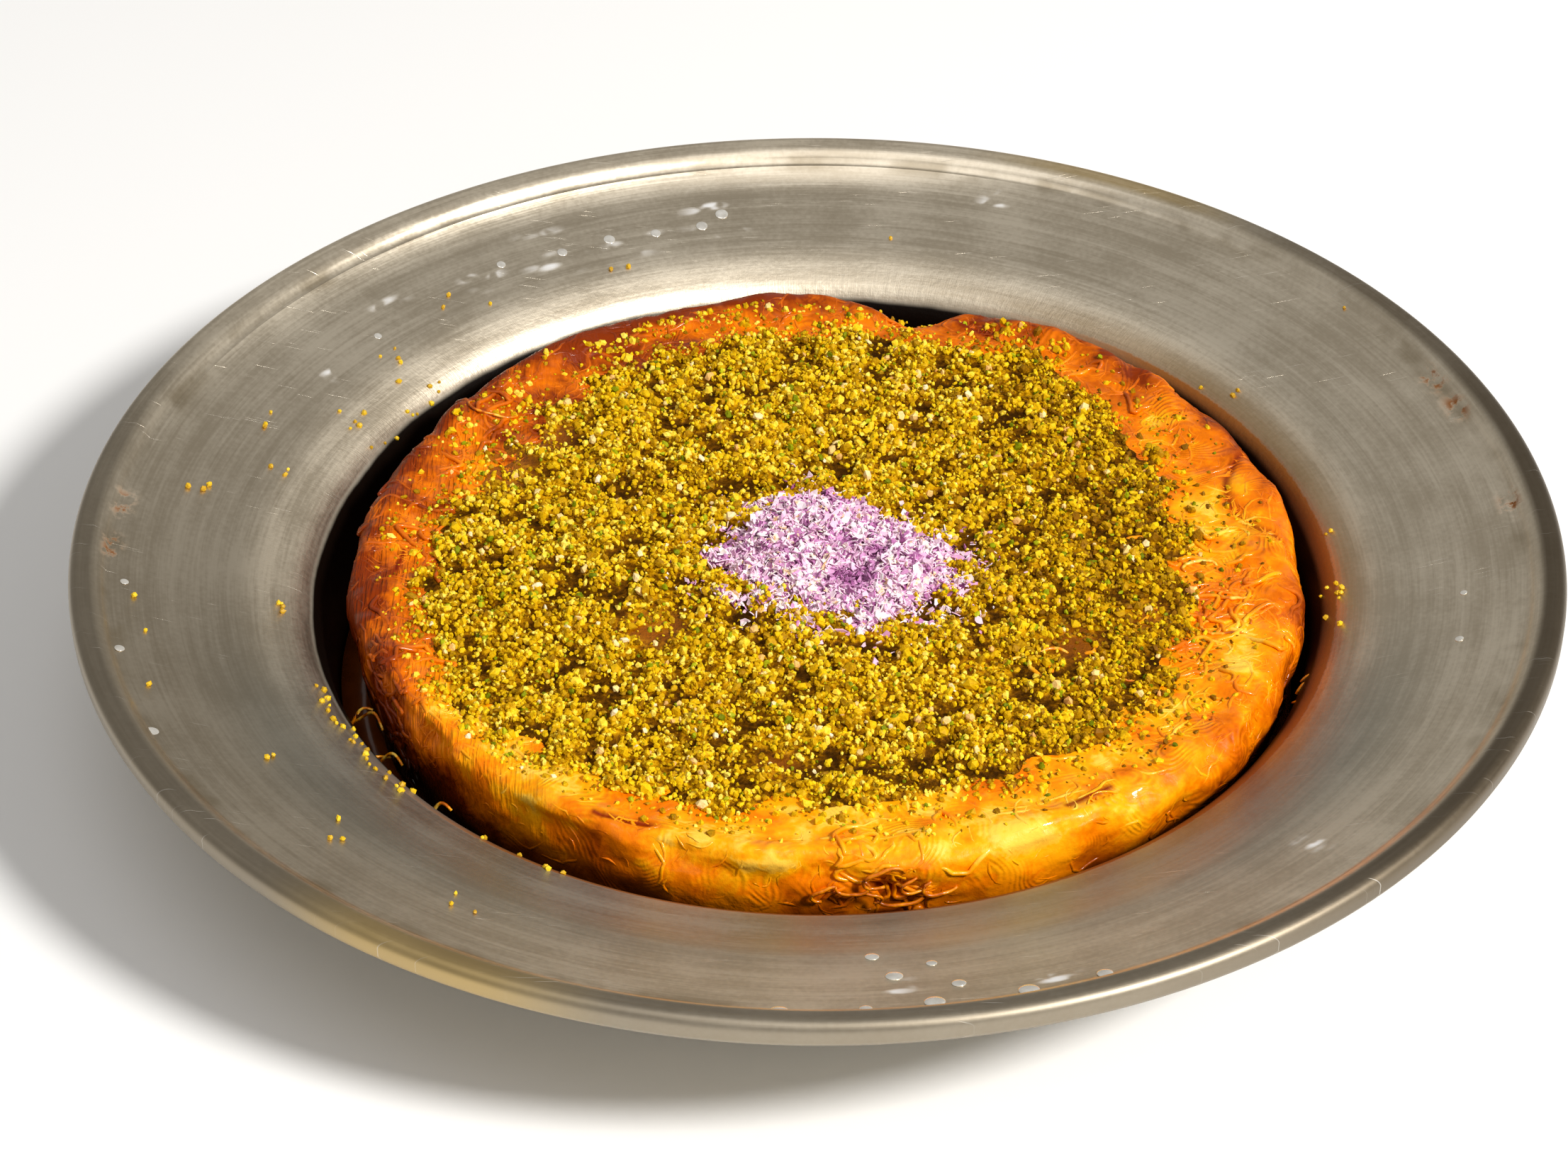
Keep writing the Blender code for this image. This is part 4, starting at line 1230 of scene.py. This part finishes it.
def strew(net, points, shape, turn, scale, seed, grain, rough):
    # the shape on each point, with a tone of its own, made uneven by noise
    made = net.keep(net.instances(points, shape, turn, scale), "tone", net.chance(0.0, 1.0, seed))
    values = {"Vector": net.node("GeometryNodeInputPosition"), "Scale": grain, "Detail": 1.0}
    return net.moved(net.realized(made), net.drift({}, values, rough))


def writeCrumbs(net, given):
    # angular crumbs, heaped where the clumps are
    seed = given.also("seed")
    points, size = scatter(net, given, -0.15, "heaped", 2.4)
    scale = net.join(
        size * net.chance(0.9, 1.5, seed + 3), size * net.chance(0.7, 1.1, seed + 4),
        size * net.chance(0.6, 1.0, seed + 5),
    )
    values = {0: (0.0, 0.0, 0.0), 1: (tau, tau, tau), "Seed": seed + 6}
    turn = net.node("FunctionNodeRandomValue", {"data_type": "FLOAT_VECTOR"}, values)
    ball = net.node("GeometryNodeMeshIcoSphere", {}, {"Radius": 1.0, "Subdivisions": given.also("fine")})
    return strew(net, points, ball, turn, scale, seed + 7, given.also("grain"), given.also("rough"))


def spilledAt(x, y):
    spilled = 0.0
    patchy = clamp(0.5 + 1.6 * cloud(x, y, 3.4 * mm, 71.0))
    for px, py, reach, amount in spills:
        away = math.hypot(x - px * mm, y - py * mm) / (reach * mm)
        spilled = max(spilled, amount * math.exp(-away * away) * patchy)
    return spilled


def crumbsAt(x, y):
    # height of the surface that the crumbs lie on, how thick they lie and how high they are heaped
    share, edge, clump, bare = nutShare(x, y), nutEdge(x, y), clumpAt(x, y), bareAt(x, y)
    thick = clamp(0.72 + 1.7 * clump) * edge * (1 - bare) + 0.12 * edge
    stray = max(0.10 * clamp((1.20 - share) / 0.18), spilledAt(x, y))
    under = clamp((1.02 - roseShare(x, y)) / 0.15)
    heaped = clamp(0.45 + 1.0 * clump) * edge * (1 - bare)
    return max(nutTop(x, y), pastryTop(x, y)), max(thick, stray) * (1 - 0.93 * under), heaped


crumbSeat = {"x": pastrySizes["x"], "y": pastrySizes["y"], "steps": 300, "rings": 110, "last": 61.5 * mm}


def makeNut():
    bedFinish = finish("nut bed", {"Specular IOR Level": 0.05}, writeNutBed)
    place(addPiece("nut_bed", nutMesh(), bedFinish), "pistachio", "ground_pistachio")
    seat = disc("crumb_seat", crumbSeat, crumbsAt, ("cover", "heaped"))
    for name, sizes in crumbKinds.items():
        stops = [(spot, screen(*colour)) for spot, colour in crumbColours[name]]

        def writeCrumbFinish(net, stops=stops):
            fine = net.noise(net.place(), 0.35 * mm, 2.0)
            x, y, z = net.parts(net.place())
            right = net.step(x, 12 * mm, 48 * mm)
            tone = net.attribute("tone") * 0.85 + (fine - 0.5) * 0.5 + 0.08 - right * 0.24
            return {
                "Base Color": net.ramp(tone, stops),
                "Roughness": 0.45 + fine * 0.25,
                "Normal": bump(net, fine, 0.08 * mm),
            }

        material = finish(name.replace("_", " "), {"Specular IOR Level": 0.12}, writeCrumbFinish)
        mesh = grow(seat, name, sizes, material, writeCrumbs)
        place(addPiece(name, mesh, smooth=False), "pistachio")
        print(name, len(mesh.polygons), "faces")
    bpy.data.objects.remove(seat)


# Rose petals

def roseRise(x, y):
    x, y = x / mm, y / mm
    left = math.exp(-(((x + 2.5) / 9.5) ** 2) - ((y - 3.0) / 10.5) ** 2)
    right = 0.75 * math.exp(-(((x - 11.5) / 8.0) ** 2) - ((y + 6.0) / 7.5) ** 2)
    hollow = 0.75 * math.exp(-(((x - 5.0) / 2.6) ** 2) - ((y + 7.5) / 3.4) ** 2)
    rough = 0.22 * noise.noise(Vector((x / 3.0, y / 3.0, 3.3)))
    return max(0.16, left + right - hollow + rough)


def roseTop(x, y):
    # its edge goes down under the nut
    r = roseSizes
    edge = clamp((0.98 - roseShare(x, y)) / 0.28)
    fine = 0.4 * mm * cloud(x, y, 1.2 * mm, 9.0) + 0.4 * mm * cloud(x, y, 2.6 * mm, 19.0)
    heap = r["level"] + r["height"] * roseRise(x, y) + fine
    return heap * edge + (min(nutTop(x, y), r["level"]) - 0.6 * mm) * (1 - edge)


roseColours = [
    (0.0, (92, 20, 72)), (0.06, (150, 62, 130)), (0.16, (206, 136, 190)), (0.36, (236, 190, 218)),
    (0.62, (250, 222, 236)), (0.86, (255, 243, 246)), (0.94, (254, 240, 220)), (1.0, (226, 178, 120)),
]


def roseStops():
    return [(spot, screen(*colour)) for spot, colour in roseColours]


# painted shade: deep purple in the torn hollow and in the shadow behind the heap at the far side: x, y, reach
# in mm
petalShadePlaces = [(5, -8, 4.5), (0, 12.5, 3.6), (3.5, 10, 3.0), (8, -3.5, 2.5)]


def shadedPetals(net):
    return net.near(net.flat(net.place()), petalShadePlaces, 0.25)


def writeRoseBed(net):
    fine = net.noise(net.place(), 0.7 * mm, 3.0, 0.7)
    tone = net.step(fine, 0.35, 0.8) * 0.4 + 0.02
    return {
        "Base Color": net.ramp(tone * (1 - shadedPetals(net) * 0.8), roseStops()),
        "Roughness": 0.7 + fine * 0.2,
        "Normal": bump(net, fine, 0.5 * mm),
    }


def writePetal(net):
    fine = net.noise(net.place(), 0.5 * mm, 2.0)
    tone = (net.attribute("tone") + (fine - 0.5) * 0.24) * (1 - shadedPetals(net) * 0.75)
    return {
        "Base Color": net.ramp(tone, roseStops()),
        "Roughness": 0.55 + fine * 0.3,
        "Normal": bump(net, fine, 0.06 * mm),
    }


petalSizes = {
    "perArea": 10.0 / mm ** 2, "small": 0.20 * mm, "large": 0.78 * mm, "thick": 0.12 * mm, "lift": 0.6 * mm,
    "tilt": 1.2, "grain": 900.0, "curl": 0.8, "seed": 12,
}


def writePetals(net, given):
    # thin scraps lying every way, each bent by noise
    seed, tilt = given.also("seed"), given.also("tilt")
    points, size = scatter(net, given, 0.0, "cover", 2.2)
    scale = net.join(
        size * net.chance(0.9, 1.7, seed + 3), size * net.chance(0.45, 1.0, seed + 4),
        given.also("thick"),
    )
    turn = net.join(
        net.chance(-1.0, 1.0, seed + 5) * tilt, net.chance(-1.0, 1.0, seed + 6) * tilt,
        net.chance(0.0, tau, seed + 7),
    )
    scrap = net.node(
        "GeometryNodeMeshCylinder", {"fill_type": "NGON"},
        {"Vertices": 5, "Side Segments": 1, "Radius": 1.0, "Depth": 1.0},
    )
    curl = given.also("large") * given.also("curl")
    return strew(net, points, scrap, turn, scale, seed + 8, given.also("grain"), curl)


def petalsAt(x, y):
    # height of the surface that the petals lie on, and how thick they lie
    share = roseShare(x, y)
    thick = max(clamp((1.04 - share) / 0.16), 0.10 * clamp((1.5 - share) / 0.5))
    patchy = 0.55 + 0.45 * clamp(0.6 + 1.6 * cloud(x, y, 2.2 * mm, 77.0))
    return max(roseTop(x, y), nutTop(x, y)), thick * patchy


petalSeat = {"x": roseSizes["x"], "y": roseSizes["y"], "steps": 160, "rings": 60, "last": 27 * mm}


def makeRose():
    heap = finish("rose heap", {"Sheen Weight": 0.2}, writeRoseBed)
    rows, mesh = closedLayer("rose_heap", roseSizes, roseReach, roseTop)
    place(addPiece("rose_heap", mesh, heap), "rose", "rose_petals")
    seat = disc("petal_seat", petalSeat, petalsAt, ("cover",))
    material = finish("petal", {"Sheen Weight": 0.25}, writePetal)
    mesh = grow(seat, "petal_scraps", petalSizes, material, writePetals)
    place(addPiece("petal_scraps", mesh, smooth=False), "rose")
    print("petal_scraps", len(mesh.polygons), "faces")
    bpy.data.objects.remove(seat)


# Syrup in the gap

syrupSizes = {"level": 3.6 * mm, "foot": 1.3 * mm, "gap": 0.2 * mm, "steps": 240}


def syrupMesh():
    s = syrupSizes
    rows = [[], [], [], [], [], []]
    middle = 0.5 * (s["level"] + s["foot"])
    heights = (s["level"], s["level"], middle, s["foot"], s["foot"], middle)
    for i in range(s["steps"]):
        angle = tau * i / s["steps"]
        along = Vector((math.cos(angle), math.sin(angle), 0.0))
        shift = Vector((pastrySizes["x"], pastrySizes["y"], 0.0))
        inner = {}
        for height in set(heights):
            down = (pastrySizes["top"] - height) / mm
            ring = 8 + clamp((down - crustDown[8]) / (crustDown[9] - crustDown[8]))
            ring += clamp((down - crustDown[9]) / (crustDown[10] - crustDown[9]))
            turn = angle
            for _ in range(4):
                foot = crustPoint(turn, ring / crustLast) + shift
                turn += angle - math.atan2(foot.y, foot.x)
            inner[height] = foot.xy.length + s["gap"]
        ripple = 0.08 * mm * noise.noise(along * 12) - 0.1 * mm
        for k, (row, height) in enumerate(zip(rows, heights)):
            raised = 0.3 * mm if k == 3 else 0.0
            radius = dishRadiusAt(height + raised) - s["gap"] if k in (1, 2, 3) else inner[height]
            row.append(along * radius + Vector((0, 0, height + (ripple if k == 0 else 0.0))))
    rows.append(rows[0])
    mesh = skin("syrup", rows)
    shape = bmesh.new()
    shape.from_mesh(mesh)
    bmesh.ops.remove_doubles(shape, verts=shape.verts, dist=1e-6)
    shape.to_mesh(mesh)
    shape.free()
    return mesh


def writeSyrup(net):
    cloudy = net.noise(net.place(), 5 * mm, 2.0)
    return {
        # painted shade: the syrup is coloured dark, as it lies in the shaded gap
        "Base Color": net.mix(cloudy, screen(58, 20, 2), screen(132, 62, 8)),
        "Roughness": 0.16 + cloudy * 0.08,
        "Normal": bump(net, cloudy, 0.3 * mm),
    }


# Strays: crumbs and drops on the steel

def pebble(shape, centre, size, draw, flat=1.0):
    made = bmesh.ops.create_icosphere(shape, subdivisions=1, radius=size)["verts"]
    turn = Matrix.Rotation(draw.uniform(0, tau), 3, "Z") @ Matrix.Rotation(draw.uniform(0, 1), 3, "X")
    for vertex in made:
        moved = turn @ (vertex.co * draw.uniform(0.75, 1.2))
        moved.z *= flat
        vertex.co = moved + centre


strayCrumbs = {
    # on the rim: x, y, how many, spread in mm
    "spots": [
        (-85, 12, 3, 1.5), (-90, -15, 2, 1.0), (-88, -22, 1, 0.5), (-72, -10, 4, 1.5), (-78, 30, 3, 3.0),
        (-62, 48, 5, 4.0), (-74, 20, 3, 2.0), (-86, -34, 1, 0.5), (-58, -62, 3, 4.0), (-70, -45, 2, 3.0),
        (-46, -74, 3, 5.0), (12, 80, 1, 0.5), (-30, 74, 2, 2.0), (69.5, -4, 4, 2.0), (60, 42, 3, 3.0),
        (83, 55, 2, 4.0), (-66, 33, 5, 2.0), (-80, -60, 2, 4.0), (70.5, 8, 2, 1.0), (-52, 60, 3, 3.0),
    ],
    # along the shoulder: from and to in degrees, how many
    "runs": [(201, 223, 30), (140, 156, 10), (228, 244, 6), (347, 356, 5)],
    "size": (0.24 * mm, 0.50 * mm),
    "seed": 17,
}


def strayMesh():
    c = strayCrumbs
    draw = random.Random(c["seed"])
    shape = bmesh.new()

    def drop(x, y):
        size = draw.uniform(*c["size"])
        radius = math.hypot(x, y)
        pebble(shape, Vector((x, y, dishHeight(radius) + 0.45 * size)), size, draw)

    for x, y, count, spread in c["spots"]:
        for _ in range(count):
            drop((x + draw.gauss(0, 0.6 * spread)) * mm, (y + draw.gauss(0, 0.6 * spread)) * mm)
    for start, end, count in c["runs"]:
        for _ in range(count):
            angle = math.radians(draw.uniform(start, end))
            radius = draw.uniform(68.6, 71.2) * mm
            drop(radius * math.cos(angle), radius * math.sin(angle))
    mesh = bpy.data.meshes.new("stray_crumbs")
    shape.to_mesh(mesh)
    shape.free()
    tones = []
    for _ in range(len(mesh.vertices) // 12):
        tones += [draw.uniform(0.3, 1.0)] * 12
    setShare(mesh, "tone", tones)
    return mesh


def writeStray(net):
    fine = net.noise(net.place(), 0.4 * mm, 2.0)
    stops = [(spot, screen(*colour)) for spot, colour in crumbColours["nut_crumbs"]]
    return {
        "Base Color": net.ramp(net.attribute("tone") * 0.75 + (fine - 0.5) * 0.3, stops),
        "Roughness": 0.45 + fine * 0.2,
    }


clearDrops = {
    # x, y, radius in mm of drops that dried or stand on the rim
    "drops": [
        (-5, -95.0, 1.3), (13, -93.2, 1.3), (24, -91.3, 1.3), (6, -81.5, 0.9), (8.5, -86.5, 1.1),
        (13, -83.5, 0.7), (16, -88.8, 0.9), (33, -88.5, 1.0), (13.5, -96.0, 0.7), (5, -94.5, 0.8),
        (-17, 82, 0.9), (-14, 84.5, 1.0), (-24, 80, 0.8), (-31, 78, 0.9), (-38, 74.5, 0.8), (-47, 70.5, 0.7),
        (-84, -44, 0.9), (-92, -12, 0.6), (-90.5, -27, 0.7), (84, -22, 0.6), (86, -12, 0.5), (-64, 52, 0.6),
    ],
    "height": 0.16,
}


def dropMesh():
    shape = bmesh.new()
    tilt = dishSizes["rimSlope"]
    for x, y, size in clearDrops["drops"]:
        made = bmesh.ops.create_uvsphere(shape, u_segments=18, v_segments=10, radius=size * mm)["verts"]
        angle = math.atan2(y, x)
        lean = Matrix.Rotation(angle, 3, "Z") @ Matrix.Rotation(-tilt, 3, "Y")
        centre = Vector((x * mm, y * mm, dishHeight(math.hypot(x, y) * mm)))
        for vertex in made:
            flat = vertex.co.copy()
            flat.z *= clearDrops["height"]
            vertex.co = lean @ flat + centre
    mesh = bpy.data.meshes.new("clear_drops")
    shape.to_mesh(mesh)
    shape.free()
    return mesh


def writeDrop(net):
    cloudy = net.noise(net.place(), 1.2 * mm, 2.0)
    return {
        # painted highlight: the drops are coloured near white, for the light they catch
        "Base Color": net.mix(cloudy, screen(214, 208, 196), screen(244, 242, 236)),
        "Roughness": 0.12 + cloudy * 0.1,
        "Metallic": 0.75 - cloudy * 0.3,
    }


# Room, lights and camera

cameraSizes = {
    "distance": 500 * mm,
    "elevation": math.radians(37.116),
    "aim": (-4.427 * mm, -15.562 * mm),
    "lens": 87.12,
    "sensor": 36.0,
}
skyLook = {"colour": (1.0, 0.97, 0.92, 1.0), "strength": 0.33}
# name: direction to the light, distance, width, power, colour
lightKinds = {
    "key": ((0.59, -0.43, 0.69), 1.6, 0.28, 28.5, (1.0, 0.98, 0.95)),
    "top": ((-0.10, -0.30, 1.0), 1.6, 1.20, 4.0, (0.98, 0.98, 1.0)),
}


def makeRoom():
    floor = bpy.data.meshes.new("floor")
    shape = bmesh.new()
    bmesh.ops.create_grid(shape, x_segments=8, y_segments=8, size=3.0)
    shape.to_mesh(floor)
    shape.free()

    def writeFloor(net):
        cloudy = net.noise(net.place(), 0.4, 2.0)
        return {"Base Color": net.mix(cloudy, screen(247, 247, 246), screen(250, 250, 250))}

    addPiece("floor", floor, finish("pale floor", {"Roughness": 0.9}, writeFloor))
    world = bpy.data.worlds.new("studio")
    world.use_nodes = True
    back = world.node_tree.nodes["Background"]
    back.inputs["Color"].default_value = skyLook["colour"]
    back.inputs["Strength"].default_value = skyLook["strength"]
    bpy.context.scene.world = world
    for name, (way, far, width, power, colour) in lightKinds.items():
        lamp = bpy.data.lights.new(name, "AREA")
        lamp.shape = "DISK"
        lamp.size = width
        lamp.energy = power
        lamp.color = colour
        light = bpy.data.objects.new(name, lamp)
        bpy.context.scene.collection.objects.link(light)
        direction = Vector(way).normalized()
        light.location = direction * far
        light.rotation_euler = direction.to_track_quat("Z", "Y").to_euler()


def makeCamera():
    c = cameraSizes
    lens = bpy.data.cameras.new("camera")
    lens.lens = c["lens"]
    lens.sensor_width = c["sensor"]
    lens.clip_start = 0.01
    camera = bpy.data.objects.new("camera", lens)
    bpy.context.scene.collection.objects.link(camera)
    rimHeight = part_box("dish")[1].z - 1.2 * mm
    back = c["distance"] * math.cos(c["elevation"])
    rise = c["distance"] * math.sin(c["elevation"])
    camera.location = (c["aim"][0], c["aim"][1] - back, rimHeight + rise)
    camera.rotation_euler = (math.pi / 2 - c["elevation"], 0.0, 0.0)
    bpy.context.scene.camera = camera
    bpy.context.scene.view_settings.view_transform = "Standard"


makeCamera()
makeRoom()
print("camera and room made")

steel = finish("satin steel", {"Specular IOR Level": 0.15}, writeSteel)
place(addPiece("steel_dish", dishMesh(), steel), "steel", "dish")
print("dish made")

crust = finish("crust", {"Coat Roughness": 0.07, "Specular IOR Level": 0.12}, writeCrust)
place(addPiece("pastry_core", pastryMesh(), crust), "pastry", "pastry")
threadFixed = {"Coat Weight": 0.35, "Coat Roughness": 0.10, "Specular IOR Level": 0.15}
makeThreads(finish("pastry thread", threadFixed, writeThread))
print("pastry made")

makeNut()
print("nut made")

loose = finish("loose thread", {"Coat Weight": 0.4, "Specular IOR Level": 0.3}, writeLoose)
place(addPiece("loose_threads", looseMesh(), loose), "pastry")

makeRose()
print("rose made")

pool = finish("syrup", {"Coat Weight": 0.3}, writeSyrup)
place(addPiece("syrup_pool", syrupMesh(), pool), "syrup", "syrup")
strays = finish("stray crumbs", {}, writeStray)
place(addPiece("stray_crumbs", strayMesh(), strays, smooth=False), "pistachio")
drops = finish("clear drops", {"Coat Weight": 1.0}, writeDrop)
place(addPiece("clear_drops", dropMesh(), drops), "syrup")
print("syrup and strays made")
